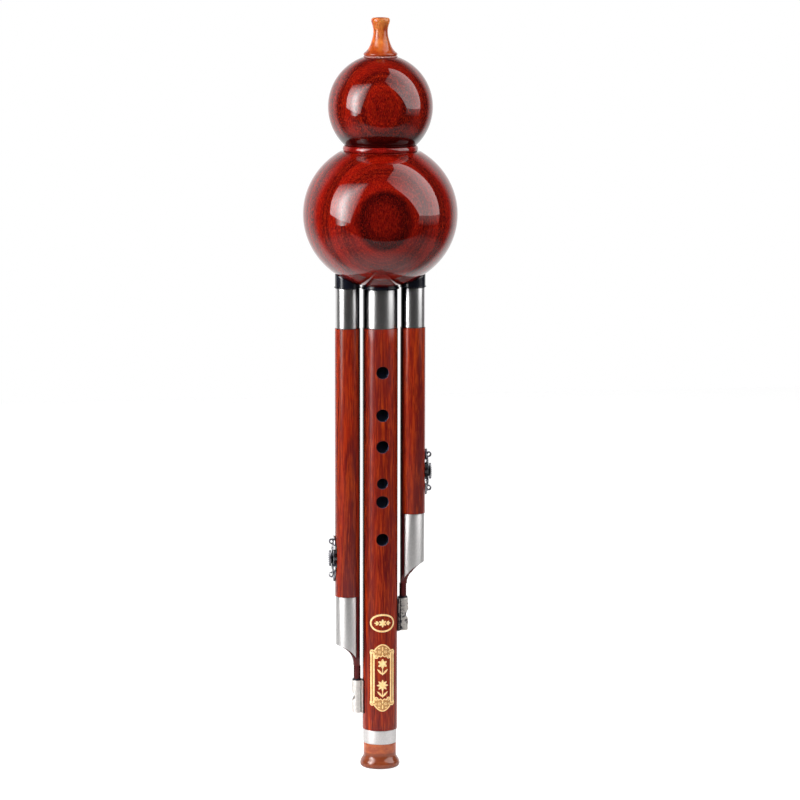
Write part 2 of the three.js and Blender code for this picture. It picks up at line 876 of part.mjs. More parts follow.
function droneTube(drone) {
  const bottom = tailBottom(drone);
  const boreEnd = switchHeight(drone) - dronePipe.boreEndDrop;
  const outline = [
    [0, bottom],
    [dronePipe.radius, bottom],
    ...tenonOutline(dronePipe, rightSocket),
    [dronePipe.boreRadius, boreEnd],
    [0, boreEnd],
  ];
  const outside = dronePipe.radius + overrun;
  const sleeveSeat = solid(
    ring(
      sleeveRadius - tail.sleeveWall - fit,
      outside,
      bottom - overrun,
      sleeveTop(drone),
      pipeSides,
    ),
  );
  const kept = wedge(
    outside + overrun,
    Math.PI,
    tail.slotHalfAngle - gap / dronePipe.radius,
    bottom - 2 * overrun,
    sleeveTop(drone) + overrun,
  );
  let tube = solid(turned(outline, pipeSides))
    .subtract(sleeveSeat.subtract(solid(kept)))
    .subtract(scoop(tail.scoopRadius, scoopX(), bottom));
  for (const side of [-1, 1]) {
    const y = side * (peg.radius + tail.cheekRadius);
    const from = vector(-outside, y, bottom);
    const to = vector(outside, y, bottom);
    tube = tube.subtract(solid(bar(tail.cheekRadius, from, to, pipeSides)));
  }
  const toneHeight = switchHeight(drone) + toneHole.rise;
  const tone = bar(
    toneHole.radius,
    vector(0, 0, toneHeight),
    vector(outside, 0, toneHeight),
    smallSides,
  );
  const pegHole = bar(
    pegTenonRadius + fit,
    vector(-pegOffset, 0, bottom - overrun),
    vector(-pegOffset, 0, bottom + peg.tenonLength + gap),
    smallSides,
  );
  tube = tube.subtract(solid(tone)).subtract(solid(pegHole));
  for (const end of [-1, 1]) tube = tube.subtract(pinHole(drone, end));
  return geometryOf(tube);
}

// The metal sleeve on the tail, slotted on the side that faces the main pipe.
function tailSleeve(drone) {
  const top = sleeveTop(drone) - seat;
  const bottom = tailBottom(drone);
  const wall = solid(
    ring(sleeveRadius - tail.sleeveWall, sleeveRadius, bottom, top, pipeSides),
  );
  const slotCut = wedge(
    dronePipe.radius + overrun,
    Math.PI,
    tail.slotHalfAngle,
    bottom - overrun,
    top + overrun,
  );
  const drop = Math.sqrt(tail.sleeveScoopRadius ** 2 - (scoopX() - dronePipe.radius) ** 2);
  const cut = scoop(tail.sleeveScoopRadius, scoopX(), tipHeight(drone) - drop);
  return geometryOf(wall.subtract(solid(slotCut)).subtract(cut));
}

function tailPeg(drone) {
  const top = tailBottom(drone) - seat;
  const bottom = clipTop(drone) - peg.depthInClip;
  const outline = [
    [0, bottom],
    [peg.radius, bottom],
    [peg.radius, top],
    [pegTenonRadius, top],
    [pegTenonRadius, top + peg.tenonLength],
    [0, top + peg.tenonLength],
  ];
  return turned(outline, smallSides).translate(-pegOffset, 0, 0);
}

// The switch on a drone pipe: a cast plate, and a slider whose pad stops the tone hole.

function plateInner() {
  return dronePipe.radius + fit;
}

function plateOuter() {
  return dronePipe.radius + fit + channelDepth + plate.roofWall;
}

// A round wall about the drone pipe's axis, cut to an outline seen from outside.
function curvedWall(shape, innerRadius, outerRadius, height) {
  const reach = 2 * plateHalfHeight;
  const wall = ring(innerRadius, outerRadius, height - reach, height + reach, pipeSides);
  const outline = pushedOut(shape, 0, outerRadius + overrun).translate(0, 0, height);
  return solid(wall).intersect(solid(outline));
}

// The plate's outline: widest in the middle, drawn in at both waists and pointed at both ends.
function plateOutline() {
  const half = plateHalfHeight;
  const shape = new THREE.Shape();
  shape.moveTo(0, -half);
  shape.quadraticCurveTo(plate.waist, scroll.height - half, plate.waist, -scrollStart);
  shape.quadraticCurveTo(plate.halfWidth, -slotHalfLength, plate.halfWidth, 0);
  shape.quadraticCurveTo(plate.halfWidth, slotHalfLength, plate.waist, scrollStart);
  shape.quadraticCurveTo(plate.waist, half - scroll.height, 0, half);
  shape.quadraticCurveTo(-plate.waist, half - scroll.height, -plate.waist, scrollStart);
  shape.quadraticCurveTo(-plate.halfWidth, slotHalfLength, -plate.halfWidth, 0);
  shape.quadraticCurveTo(-plate.halfWidth, -slotHalfLength, -plate.waist, -scrollStart);
  shape.quadraticCurveTo(-plate.waist, scroll.height - half, 0, -half);
  return shape;
}

function ellipseOutline(halfWidth, halfLength, centre) {
  const shape = new THREE.Shape();
  shape.absellipse(0, centre, halfWidth, halfLength, 0, 2 * Math.PI);
  return shape;
}

function pinRise(end) {
  return end * (plateHalfHeight - platePin.inset);
}

// The hole that a plate's pin goes through, in the plate and on into the pipe.
function pinHole(drone, end) {
  const height = switchHeight(drone) + pinRise(end);
  const from = vector(dronePipe.radius - platePin.bite - gap, 0, height);
  const to = vector(plateOuter() + overrun, 0, height);
  return solid(bar(platePin.shankRadius + fit, from, to, pinSides));
}

function switchPlate(drone) {
  const height = switchHeight(drone);
  const roof = plateInner() + channelDepth;
  const channelCut = block(
    vector(0, -channelHalfWidth, height - channelHalfLength),
    vector(roof, channelHalfWidth, height + channelHalfLength),
  );
  const slotCut = block(
    vector(0, -slotHalfWidth, height - slotHalfLength),
    vector(plateOuter() + overrun, slotHalfWidth, height + slotHalfLength),
  );
  let made = curvedWall(plateOutline(), plateInner(), plateOuter(), height)
    .subtract(solid(channelCut))
    .subtract(solid(slotCut));
  for (const end of [-1, 1]) {
    const centre = end * (scrollStart + scroll.height / 2);
    const outline = ellipseOutline(scroll.halfWidth, scroll.height / 2, centre);
    made = made
      .add(curvedWall(outline, plateInner(), plateOuter() + scroll.rise, height))
      .subtract(pinHole(drone, end));
  }
  return geometryOf(made);
}

function platePinShape(drone, end) {
  const height = switchHeight(drone) + pinRise(end);
  const headFace = plateOuter() + seat;
  const headTop = headFace + platePin.headHeight;
  const shank = bar(
    platePin.shankRadius,
    vector(dronePipe.radius - platePin.bite, 0, height),
    vector(headTop, 0, height),
    pinSides,
  );
  const head = bar(
    platePin.headRadius,
    vector(headFace, 0, height),
    vector(headTop, 0, height),
    pinSides,
  );
  return geometryOf(solid(shank).add(solid(head)));
}

function footOutline(halfWidth, halfLength) {
  const shape = new THREE.Shape();
  shape.moveTo(-halfWidth, -halfLength);
  shape.lineTo(halfWidth, -halfLength);
  shape.lineTo(halfWidth, halfLength);
  shape.lineTo(-halfWidth, halfLength);
  shape.closePath();
  return shape;
}

function switchSlider(drone) {
  const height = switchHeight(drone);
  const footInner = plateInner() + padWall + fit;
  const footOuter = footInner + slider.footWall;
  const thumbInner = plateOuter() + slider.thumbLift;
  const footWall = curvedWall(
    footOutline(slider.footHalfWidth, slider.footHalfLength),
    footInner,
    footOuter,
    height,
  );
  const neckPost = block(
    vector(footInner + slider.footWall / 2, -slider.neckHalfWidth, height - slider.neckHalfLength),
    vector(thumbInner + slider.thumbWall / 2, slider.neckHalfWidth, height + slider.neckHalfLength),
  );
  const thumb = pushedOut(
    ellipseOutline(slider.thumbHalfWidth, slider.thumbHalfLength, 0),
    thumbInner,
    thumbInner + slider.thumbWall,
  ).translate(0, 0, height);
  return geometryOf(footWall.add(solid(neckPost)).add(solid(thumb)));
}

function sliderPad(drone) {
  const outline = footOutline(slider.footHalfWidth, slider.footHalfLength);
  const inner = plateInner();
  return geometryOf(curvedWall(outline, inner, inner + padWall, switchHeight(drone)));
}

// The assembly

function gourd() {
  const group = new THREE.Group();
  group.add(
    piece("mouthpiece", mouthpieceShape(), amber),
    piece("mouthpiece_washer", mouthpieceWasher(), darkAmber),
    piece("upper_bulb", upperBulbShell(), rosewoodGourd),
    piece("neck_ring", neckRing(), rosewoodGourd),
    piece("lower_bulb", lowerBulbShell(), rosewoodGourd),
  );
  const sockets = [
    ["main", mainSocket, mainReedTube],
    ["left", leftSocket, droneReedTube],
    ["right", rightSocket, droneReedTube],
  ];
  for (const [name, socket, tube] of sockets) {
    group.add(piece(name + "_collar", collarShape(socket), blackRubber));
    const place = new THREE.Group();
    place.position.x = socket.x;
    place.add(
      piece(name + "_ferrule", ferruleShape(socket), nickelSilver),
      piece(name + "_reed_tube", reedTubeShape(tube, socket), brass),
      piece(name + "_reed", reedShape(tube, socket), brass),
      piece(name + "_reed_plug", reedPlugShape(tube, socket), brass),
    );
    group.add(place);
  }
  return group;
}

function mainPipeAssembly() {
  const group = new THREE.Group();
  group.add(
    piece("main_tube", mainTube(), rosewoodPipe),
    piece("main_tenon_cork", tenonCorkShape(mainSocket), cork),
    piece("foot_band", footBand(), nickelSilver),
    piece("foot_bell", footBell(), darkAmber),
  );
  for (const [name, drone] of Object.entries(drones)) {
    const side = new THREE.Group();
    side.rotation.z = drone.turn;
    side.add(
      piece(name + "_tail_clip", tailClip(drone), castSilver),
      piece(name + "_clip_pad", clipPad(drone), blackRubber),
      piece(name + "_stem_bush", stemBush(drone), blackRubber),
      piece(name + "_clip_screw", clipScrewShape(drone), nickelSilver),
    );
    group.add(side);
  }
  return group;
}

function dronePipeAssembly(name, drone) {
  const side = new THREE.Group();
  side.rotation.z = drone.turn;
  const pipe = new THREE.Group();
  pipe.position.x = pipeSpacing;
  pipe.add(
    piece(name + "_tube", droneTube(drone), rosewoodPipe),
    piece(name + "_tenon_cork", tenonCorkShape(rightSocket), cork),
    piece(name + "_tail_sleeve", tailSleeve(drone), nickelSilver),
    piece(name + "_tail_peg", tailPeg(drone), rosewoodPipe),
    piece(name + "_switch_plate", switchPlate(drone), castSilver),
    piece(name + "_switch_pin_top", platePinShape(drone, 1), nickelSilver),
    piece(name + "_switch_pin_bottom", platePinShape(drone, -1), nickelSilver),
    piece(name + "_switch_slider", switchSlider(drone), castSilver),
    piece(name + "_slider_pad", sliderPad(drone), blackRubber),
  );
  side.add(pipe);
  return side;
}

const hulusi = new THREE.Group();
hulusi.add(gourd(), mainPipeAssembly());
for (const [name, drone] of Object.entries(drones)) hulusi.add(dronePipeAssembly(name, drone));

export default hulusi;
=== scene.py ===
"""Looks of the hulusi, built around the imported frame. Shapes are drawn in millimetres."""

import math

import bpy
import bmesh
import numpy as np
from mathutils import Matrix, Vector


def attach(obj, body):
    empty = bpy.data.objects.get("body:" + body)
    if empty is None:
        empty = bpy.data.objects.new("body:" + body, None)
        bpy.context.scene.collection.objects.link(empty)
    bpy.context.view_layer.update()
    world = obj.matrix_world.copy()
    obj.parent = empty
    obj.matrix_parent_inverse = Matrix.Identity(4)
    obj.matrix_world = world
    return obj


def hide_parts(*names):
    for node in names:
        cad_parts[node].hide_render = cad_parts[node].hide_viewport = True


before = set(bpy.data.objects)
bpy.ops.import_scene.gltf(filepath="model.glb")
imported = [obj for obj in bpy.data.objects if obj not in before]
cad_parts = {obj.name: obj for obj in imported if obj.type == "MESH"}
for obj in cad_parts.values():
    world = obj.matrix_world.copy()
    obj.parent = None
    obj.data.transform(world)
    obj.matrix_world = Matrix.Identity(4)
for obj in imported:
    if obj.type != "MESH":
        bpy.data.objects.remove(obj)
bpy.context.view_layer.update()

MM = 0.001
FIT = 0.1
SEAT = 0.05
FRONT = -math.pi / 2
BACK = math.pi / 2

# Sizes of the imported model, in millimetres
PIPE_BOTTOM = 23.5
PIPE_TOP = 266.3
TENON_TOP = PIPE_TOP + 15
CORK_BOTTOM = PIPE_TOP + 3
CORK_TOP = CORK_BOTTOM + 9
MAIN_RADIUS = 10.5
MAIN_BORE = 6.5
MAIN_TAIL_RADIUS = 8.9
MAIN_TENON = 9.3
MAIN_CORK_CORE = 8.2
TUBE_BOTTOM = 6.0
BAND_BOTTOM = 15.0
BAND_RADIUS = 10.07
DRONE_RADIUS = 7.5
DRONE_BORE = 3.5
DRONE_TENON = 6.25
DRONE_CORK_CORE = 5.2
DRONE_X = 19.64
LOWER_RADIUS = 45.85
LOWER_HALF = 43.5
LOWER_WALL = 2.8
LOWER_CENTRE = 334.0
UPPER_RADIUS = 31.0
UPPER_WALL = 2.5
NECK_RADIUS = 22.2
NECK_HEIGHT = 3.5
SPIGOT_RADIUS = 15.0
SPIGOT_WALL = 2.5
LAND_HEIGHT = 4.0
LOWER_SEAT = 23.6
UPPER_SEAT = 21.1
MOUTH_SEAT = 10.7
MOUTH_TENON = 5.0
MOUTH_BORE = 2.2


def rise(radius, half_height, half_width):
    return half_height * math.sqrt(1 - (half_width / radius) ** 2)


RING_BOTTOM = LOWER_CENTRE + rise(LOWER_RADIUS, LOWER_HALF, LOWER_SEAT)
RING_TOP = RING_BOTTOM + NECK_HEIGHT
UPPER_CENTRE = RING_TOP + rise(UPPER_RADIUS, UPPER_RADIUS, UPPER_SEAT)
BULB_TOP = UPPER_CENTRE + rise(UPPER_RADIUS, UPPER_RADIUS, MOUTH_SEAT)
MOUTH_BOTTOM = BULB_TOP + 0.85

# Each pipe's joint with the gourd: place, radii and heights
SOCKETS = {
    "main": dict(x=0.0, radius=10.3, wall=0.7, neck=8.8, plug=10.1, body=10.6, flange=11.2,
                 flange_height=1.2, ferrule_top=289.6, collar_top=297.236, neck_top=299.036),
    "left": dict(x=-DRONE_X, radius=7.15, wall=0.6, neck=5.9, plug=7.0, body=7.45, flange=7.9,
                 flange_height=0.6, ferrule_top=290.4, collar_top=303.63, neck_top=305.53),
}
SOCKETS["right"] = dict(SOCKETS["left"], x=DRONE_X)

# Each drone pipe's own heights, and its turn about the main pipe's axis
DRONES = {
    "left": dict(turn=math.pi, sleeve_top=PIPE_TOP - 161.4, switch=PIPE_TOP - 161.4 + 23.1,
                 slot=math.radians(53), scoop=16.8),
    "right": dict(turn=0.0, sleeve_top=PIPE_TOP - 111.8, switch=PIPE_TOP - 111.8 + 24.9,
                  slot=math.radians(39), scoop=17.0),
}
PEG_X = -5.75
PEG_RADIUS = 2.1
PEG_TENON = 1.2
SCOOP_X = 9.95
SCOOP_RADIUS = 13.6
SLEEVE_RADIUS = 7.05
SLEEVE_WALL = 0.6
for drone in DRONES.values():
    drone["tip"] = drone["sleeve_top"] - 29.3
    drone["bottom"] = drone["tip"] - math.sqrt(SCOOP_RADIUS**2 - (SCOOP_X - DRONE_RADIUS) ** 2)
    drone["clip_top"] = drone["sleeve_top"] - 51.6
CLIP_HEIGHT = 19.85
CLIP_X = DRONE_X + PEG_X
CLIP_RADIUS = 3.05
CLIP_BORE = 2.35
SADDLE_ANGLE = math.radians(20)
PAD_WALL = 0.5
BUSH_BORE = 2.2
BUSH_RADIUS = 2.65
BUSH_RIM = 2.85
BUSH_DEPTH = 3.0
SCREW_RADIUS = 0.9
SCREW_HEAD = 1.3
SCREW_TIP = 7.3
PIN_RADIUS = 0.5
PIN_HEAD = 0.9


# Mesh code

ARC_STEPS = 5


def outline_of(points):
    """A closed outline of (radius, height) points; a third number rounds that corner."""
    made = []
    count = len(points)
    for index, point in enumerate(points):
        here = np.array(point[:2], float)
        reach = point[2] if len(point) > 2 else 0
        if not reach:
            made.append(here)
            continue
        before = np.array(points[index - 1][:2], float) - here
        after = np.array(points[(index + 1) % count][:2], float) - here
        before *= min(reach, 0.45 * np.linalg.norm(before)) / np.linalg.norm(before)
        after *= min(reach, 0.45 * np.linalg.norm(after)) / np.linalg.norm(after)
        for step in range(ARC_STEPS + 1):
            share = step / ARC_STEPS
            made.append(here + before * (1 - share) ** 2 + after * share**2)
    return made


def area_of(outline):
    total = 0.0
    for a, b in zip(outline, outline[1:] + outline[:1]):
        total += a[0] * b[1] - a[1] * b[0]
    return total


def new_object(points, faces, name="shape"):
    mesh = bpy.data.meshes.new(name)
    mesh.from_pydata([tuple(p) for p in points], [], faces)
    made = bpy.data.objects.new(name, mesh)
    bpy.context.scene.collection.objects.link(made)
    return made


def tidy(made, merge=1e-4):
    """Joins points that lie together and turns the faces outwards."""
    work = bmesh.new()
    work.from_mesh(made.data)
    bmesh.ops.remove_doubles(work, verts=work.verts, dist=merge)
    bmesh.ops.dissolve_degenerate(work, edges=work.edges, dist=merge / 2)
    bmesh.ops.recalc_face_normals(work, faces=work.faces)
    work.to_mesh(made.data)
    work.free()
    return made


def grid_faces(rows, columns, closed=True):
    """Faces between rings of points, and from the last ring to the first when closed."""
    faces = []
    for row in range(rows if closed else rows - 1):
        next_row = (row + 1) % rows
        for column in range(columns):
            next_column = (column + 1) % columns
            corners = ((row, column), (row, next_column), (next_row, next_column), (next_row, column))
            faces.append(tuple(r * columns + c for r, c in corners))
    return faces


def turned(points, columns, x=0.0):
    """Turns a closed outline about the vertical axis at x."""
    outline = outline_of(points)
    if area_of(outline) < 0:
        outline.reverse()
    angles = np.arange(columns) * 2 * math.pi / columns
    made = []
    for radius, height in outline:
        for angle in angles:
            made.append((x + radius * math.cos(angle), radius * math.sin(angle), height))
    return tidy(new_object(made, grid_faces(len(outline), columns)))


def meridian(radius, half_height, centre, low, high, count):
    """Points of an ellipse's edge between two latitudes."""
    made = []
    for step in range(count + 1):
        latitude = low + (high - low) * step / count
        made.append((max(0, radius * math.cos(latitude)), centre + half_height * math.sin(latitude)))
    return made


def swept(sections, closed=False):
    """A solid through sections, each a list of points. It has end faces, or runs round when closed."""
    points = [p for section in sections for p in section]
    columns = len(sections[0])
    faces = grid_faces(len(sections), columns, closed)
    if not closed:
        faces.append(tuple(reversed(range(columns))))
        faces.append(tuple(range(len(points) - columns, len(points))))
    return tidy(new_object(points, faces))


def neighbours(path, closed):
    """Each point's share of the path, the point, and the ones before and after it."""
    count = len(path)
    for index, point in enumerate(path):
        before = path[index - 1] if closed or index else path[0]
        after = path[(index + 1) % count] if closed else path[min(index + 1, count - 1)]
        yield index / (count - 1), point, before, after


def rope(path, radius, sides, closed=False, flat=None):
    """A round bar along a path. flat gives a direction, and the sections' half width along it."""
    side = None
    sections = []
    for share, point, before, after in neighbours([Vector(p) for p in path], closed):
        along = (after - before).normalized()
        if flat:
            side = Vector(flat[0])
        elif side is None:
            side = along.orthogonal()
        side = (side - along * side.dot(along)).normalized()
        other = along.cross(side)
        size = radius(share) if callable(radius) else radius
        wide = flat[1](share) if flat else size
        section = []
        for step in range(sides):
            angle = 2 * math.pi * step / sides
            section.append(point + side * wide * math.cos(angle) + other * size * math.sin(angle))
        sections.append(section)
    return swept(sections, closed)


def bar(start, end, radius, sides=48):
    return rope([start, end], radius, sides)


def sector(inner, outer, low, high, bottom, top, columns=96):
    """Part of a round wall about the vertical axis between two angles."""
    sections = []
    for step in range(columns + 1):
        angle = low + (high - low) * step / columns
        c, s = math.cos(angle), math.sin(angle)
        corners = ((inner, bottom), (outer, bottom), (outer, top), (inner, top))
        sections.append([(r * c, r * s, z) for r, z in corners])
    return swept(sections)


def prism(outline, low, high):
    """An outline of (y, z) points pushed along X."""
    sections = [[(x, y, z) for y, z in outline] for x in (low, high)]
    return swept(sections)


def block(low, high):
    corners = [(low[1], low[2]), (high[1], low[2]), (high[1], high[2]), (low[1], high[2])]
    return prism(corners, low[0], high[0])


def applied(made):
    """The object's mesh with its modifiers applied."""
    graph = bpy.context.evaluated_depsgraph_get()
    graph.update()
    mesh = bpy.data.meshes.new_from_object(made.evaluated_get(graph))
    made.modifiers.clear()
    made.data = mesh
    return made


def welded(made, merge=2e-4):
    """Takes away faces with no width, which cuts leave."""
    work = bmesh.new()
    work.from_mesh(made.data)
    bmesh.ops.remove_doubles(work, verts=work.verts, dist=merge)
    bmesh.ops.dissolve_degenerate(work, edges=work.edges, dist=merge)
    work.to_mesh(made.data)
    work.free()
    return made


def combined(base, others, operation="DIFFERENCE", solver="EXACT"):
    """Cuts others from the base, or keeps only what lies in them."""
    for other in others:
        change = base.modifiers.new("change", "BOOLEAN")
        change.operation = operation
        change.solver = solver
        change.object = other
    welded(applied(base))
    for other in others:
        bpy.data.objects.remove(other)
    return base


def together(parts):
    """Several meshes as one object, still overlapping."""
    work = bmesh.new()
    for part in parts:
        work.from_mesh(part.data)
    for part in parts[1:]:
        bpy.data.objects.remove(part)
    work.to_mesh(parts[0].data)
    work.free()
    return parts[0]


def cast(parts, voxel, smoothing=1):
    """Melts overlapping solids into one with softened edges, as cast metal has."""
    made = together(parts)
    melt = made.modifiers.new("melt", "REMESH")
    melt.mode = "VOXEL"
    melt.voxel_size = voxel * 1
    soften = made.modifiers.new("soften", "SMOOTH")
    soften.factor = 0.5
    soften.iterations = smoothing
    return applied(made)


def bevelled(made, width):
    edge = made.modifiers.new("edge", "BEVEL")
    edge.width = width
    edge.segments = 2
    edge.limit_method = "ANGLE"
    edge.angle_limit = math.radians(50)
    return applied(made)


def raised(made, height):
    made.data.transform(Matrix.Translation((0, 0, height)))
    return made


def laid_down(made):
    """Turns what stands along Z to lie along X."""
    made.data.transform(Matrix.Rotation(math.pi / 2, 4, "Y"))
    return made


def raised_copy(made, height):
    other = made.copy()
    other.data = made.data.copy()
    bpy.context.scene.collection.objects.link(other)
    return raised(other, height)


def bent(made, shape):
    """Moves every point of a mesh by a function of its place."""
    count = len(made.data.vertices)
    places = np.zeros(count * 3)
    made.data.vertices.foreach_get("co", places)
    made.data.vertices.foreach_set("co", shape(places.reshape(-1, 3)).ravel())
    made.data.update()
    return made


def placed(made, turn, shift=0.0):
    """Turns a drone pipe's piece about the main pipe's axis, after a shift away from it."""
    made.data.transform(Matrix.Rotation(turn, 4, "Z") @ Matrix.Translation((shift, 0, 0)))
    return made


def piece(made, name, body, look, has_node=True, sharp=35):
    """Names a finished shape, gives it its look and puts it on its body, in place of its node if it has
    one. The piece is then named after that node."""
    made.name = name + "_look" if has_node else name
    made.data.name = made.name
    made.data.transform(Matrix.Scale(MM, 4))
    made.data.shade_smooth()
    made.data.set_sharp_from_angle(angle=math.radians(sharp))
    made.data.materials.clear()
    made.data.materials.append(look)
    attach(made, body)
    if has_node:
        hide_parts(name)


# Material code

def node(tree, kind, inputs=None, **settings):
    made = tree.nodes.new("ShaderNode" + kind)
    for key, value in settings.items():
        setattr(made, key, value)
    for key, value in (inputs or {}).items():
        if isinstance(value, bpy.types.NodeSocket):
            tree.links.new(value, made.inputs[key])
        else:
            made.inputs[key].default_value = value
    return made


def maths(tree, operation, a, b=0.0):
    return node(tree, "Math", {0: a, 1: b}, operation=operation).outputs[0]


def plus(tree, a, b):
    return maths(tree, "ADD", a, b)


def minus(tree, a, b):
    return maths(tree, "SUBTRACT", a, b)


def times(tree, *values):
    made = values[0]
    for value in values[1:]:
        made = maths(tree, "MULTIPLY", made, value)
    return made


def ranged(tree, value, low, high, to_low=0.0, to_high=1.0):
    """A smooth step as the value goes from low to high."""
    inputs = {"Value": value, "From Min": low, "From Max": high, "To Min": to_low, "To Max": to_high}
    made = node(tree, "MapRange", inputs, interpolation_type="SMOOTHSTEP")
    return made.outputs["Result"]


def mixed(tree, share, a, b, blend="MIX"):
    made = node(tree, "Mix", {0: share}, data_type="RGBA", blend_type=blend)
    for index, value in ((6, a), (7, b)):
        if isinstance(value, bpy.types.NodeSocket):
            tree.links.new(value, made.inputs[index])
        else:
            made.inputs[index].default_value = (*value, 1)
    return made.outputs[2]


def noise(tree, place, scale, detail, roughness, stretch=(1, 1, 1), shift=(0, 0, 0)):
    """Noise at a scale per millimetre, longer along an axis whose stretch is below 1."""
    scaled = node(tree, "Mapping", {"Vector": place, "Location": shift, "Scale": stretch})
    inputs = {"Vector": scaled.outputs[0], "Scale": scale, "Detail": detail, "Roughness": roughness}
    return node(tree, "TexNoise", inputs).outputs["Fac"]


def swing(tree, value, size):
    """A noise made to run about zero."""
    return times(tree, minus(tree, value, 0.5), size)


def streaks(tree, value, scale, detail, roughness):
    """Noise along one number, for rings of uneven width."""
    inputs = {"W": value, "Scale": scale, "Detail": detail, "Roughness": roughness}
    return node(tree, "TexNoise", inputs, noise_dimensions="1D").outputs["Fac"]


def new_look(name, **inputs):
    """A material with its shader's own values, and the object's place in millimetres."""
    look = bpy.data.materials.new(name)
    look.use_nodes = True
    tree = look.node_tree
    shader = tree.nodes["Principled BSDF"]
    for key, value in inputs.items():
        shader.inputs[key.replace("_", " ")].default_value = value
    where = node(tree, "TexCoord").outputs["Object"]
    place = node(tree, "VectorMath", {0: where, "Scale": 1 / MM}, operation="SCALE").outputs[0]
    return look, tree, shader, place


def bump(tree, shader, height, distance, strength):
    inputs = {"Height": height, "Distance": distance * MM, "Strength": strength}
    tree.links.new(node(tree, "Bump", inputs).outputs[0], shader.inputs["Normal"])


def apart(tree, place):
    """The place's three numbers."""
    return node(tree, "SeparateXYZ", {0: place}).outputs


def length_of(tree, vector):
    return node(tree, "VectorMath", {0: vector}, operation="LENGTH").outputs["Value"]


def stain_and_shade(tree, shader, share, shade, blend="MIX"):
    """Lays a colour over the present one: real stains and tones, and painted shade."""
    present = shader.inputs["Base Color"].links[0].from_socket
    tree.links.new(mixed(tree, share, present, shade, blend), shader.inputs["Base Color"])


def wood(name, pith, tilt, rings, shades, pores, fibre, wander, seed, **inputs):
    """Turned wood. The rings lie round a pith axis, so that they show as bullseyes and arches.

    Rings, pores and fibre each have their scales first, then their strengths."""
    broad_scale, fine_scale, light_lines, dark_lines, paleness = rings
    pore_scale, pore_stretch, pore_level, pore_share = pores
    fibre_scale, fibre_stretch, fibre_share = fibre
    light, middle, dark = shades
    look, tree, shader, place = new_look(name, **inputs)
    seeded = node(tree, "VectorMath", {0: place, 1: (0, 0, seed)}, operation="ADD").outputs[0]
    x, y, height = apart(tree, place)
    drift = swing(tree, noise(tree, seeded, 0.03, 2, 0.5, (1, 1, 0.35)), wander * 2)
    ripple = swing(tree, noise(tree, seeded, 0.16, 2, 0.5, (1, 1, 0.3)), wander * 0.6)
    squares = []
    for axis, across in enumerate((x, y)):
        leant = times(tree, height, tilt[axis])
        offset = minus(tree, across, plus(tree, leant, pith[axis]))
        squares.append(maths(tree, "POWER", offset, 2.0))
    distance = maths(tree, "SQRT", plus(tree, *squares))
    distance = plus(tree, plus(tree, distance, plus(tree, drift, ripple)), seed)
    broad = streaks(tree, distance, broad_scale, 2, 0.5)
    fine = streaks(tree, distance, fine_scale, 3, 0.7)
    grain = noise(tree, seeded, fibre_scale, 3, 0.65, (1, 1, fibre_stretch))
    dusk = tuple(d + (m - d) * paleness for d, m in zip(dark, middle))
    patch = ranged(tree, noise(tree, seeded, 0.08, 2, 0.5, (1, 1, 0.6)), 0.38, 0.6, 0.3, 1.0)
    colour = mixed(tree, ranged(tree, broad, 0.38, 0.62), dusk, middle)
    colour = mixed(tree, times(tree, ranged(tree, fine, 0.49, 0.66), light_lines, patch), colour, light)
    colour = mixed(tree, times(tree, ranged(tree, fine, 0.5, 0.34), dark_lines, patch), colour, dark)
    colour = mixed(tree, times(tree, ranged(tree, grain, 0.5, 0.64), fibre_share), colour, light)
    colour = mixed(tree, times(tree, ranged(tree, grain, 0.49, 0.38), fibre_share), colour, dark)
    specks = noise(tree, seeded, pore_scale, 2, 0.5, (1, 1, pore_stretch))
    share = times(tree, ranged(tree, specks, pore_level, pore_level + 0.08), pore_share)
    colour = mixed(tree, share, colour, tuple(0.3 * value for value in dark))
    tree.links.new(colour, shader.inputs["Base Color"])
    return look, tree, shader, place, specks


def gourd_wood(name, radius, centre, facing, lift, seed, painted_dark_reflection, shades, groove):
    """Deep red with a bullseye, under a thick gloss coat.

    The painted dark reflection is a darker patch painted on the bulb's front, where the gloss coat mirrors
    the
    dark studio: its half width, half height and strength. The groove, if any, gives painted shade below its
    upper height, full below its lower one."""
    reach = 2.4 * radius
    tilt = lift / radius
    pith = (reach * math.sin(math.radians(facing)), -reach * math.cos(math.radians(facing)) - tilt * centre)
    look, tree, shader, place, _ = wood(
        name, pith, (0, tilt), (0.16, 0.8, 0.25, 0.6, 0.1), shades, (1.7, 0.4, 0.56, 0.5), (1.7, 0.36, 0.6),
        2.2, seed, Roughness=0.5, Specular_IOR_Level=0.0, Coat_Weight=1.0, Coat_Roughness=0.035,
        Coat_IOR=1.5)
    x, y, height = apart(tree, place)
    # A darker patch on the bulb's front: a painted reflection of the dark studio in the coat, less dark in
    # its middle
    half_width, half_height, strength = painted_dark_reflection
    across = minus(tree, x, radius * math.sin(math.radians(facing)))
    up = minus(tree, height, centre + lift)
    spread = [maths(tree, "POWER", times(tree, value, 1 / size), 2.0)
              for value, size in ((across, half_width), (up, half_height))]
    edge = plus(tree, plus(tree, *spread), swing(tree, noise(tree, place, 0.12, 2, 0.5), 0.5))
    paler = times(tree, ranged(tree, edge, 0.9, 0.2), 0.4)
    share = minus(tree, ranged(tree, edge, 1.35, 0.85), paler)
    share = times(tree, share, ranged(tree, y, 0, -1), strength)
    stain_and_shade(tree, shader, share, (0.32, 0.22, 0.35), "MULTIPLY")
    # Painted shade below the groove's heights, on the upper bulb's underside above the neck ring
    if groove:
        share = times(tree, ranged(tree, height, groove[1], groove[0]), 0.9)
        stain_and_shade(tree, shader, share, (0.012, 0.0008, 0.0012))
    return look


def shaded(tree, shader, distance, low, high, shade, most=1.0):
    """Paints shade into the colour where other surfaces within a distance hide it:
    fully from low openness, not at all from high.
    """
    painted_occlusion = node(tree, "AmbientOcclusion", {"Distance": distance * MM}, samples=8)
    stain_and_shade(tree, shader, times(tree, ranged(tree, painted_occlusion.outputs["AO"], high, low), most), shade)


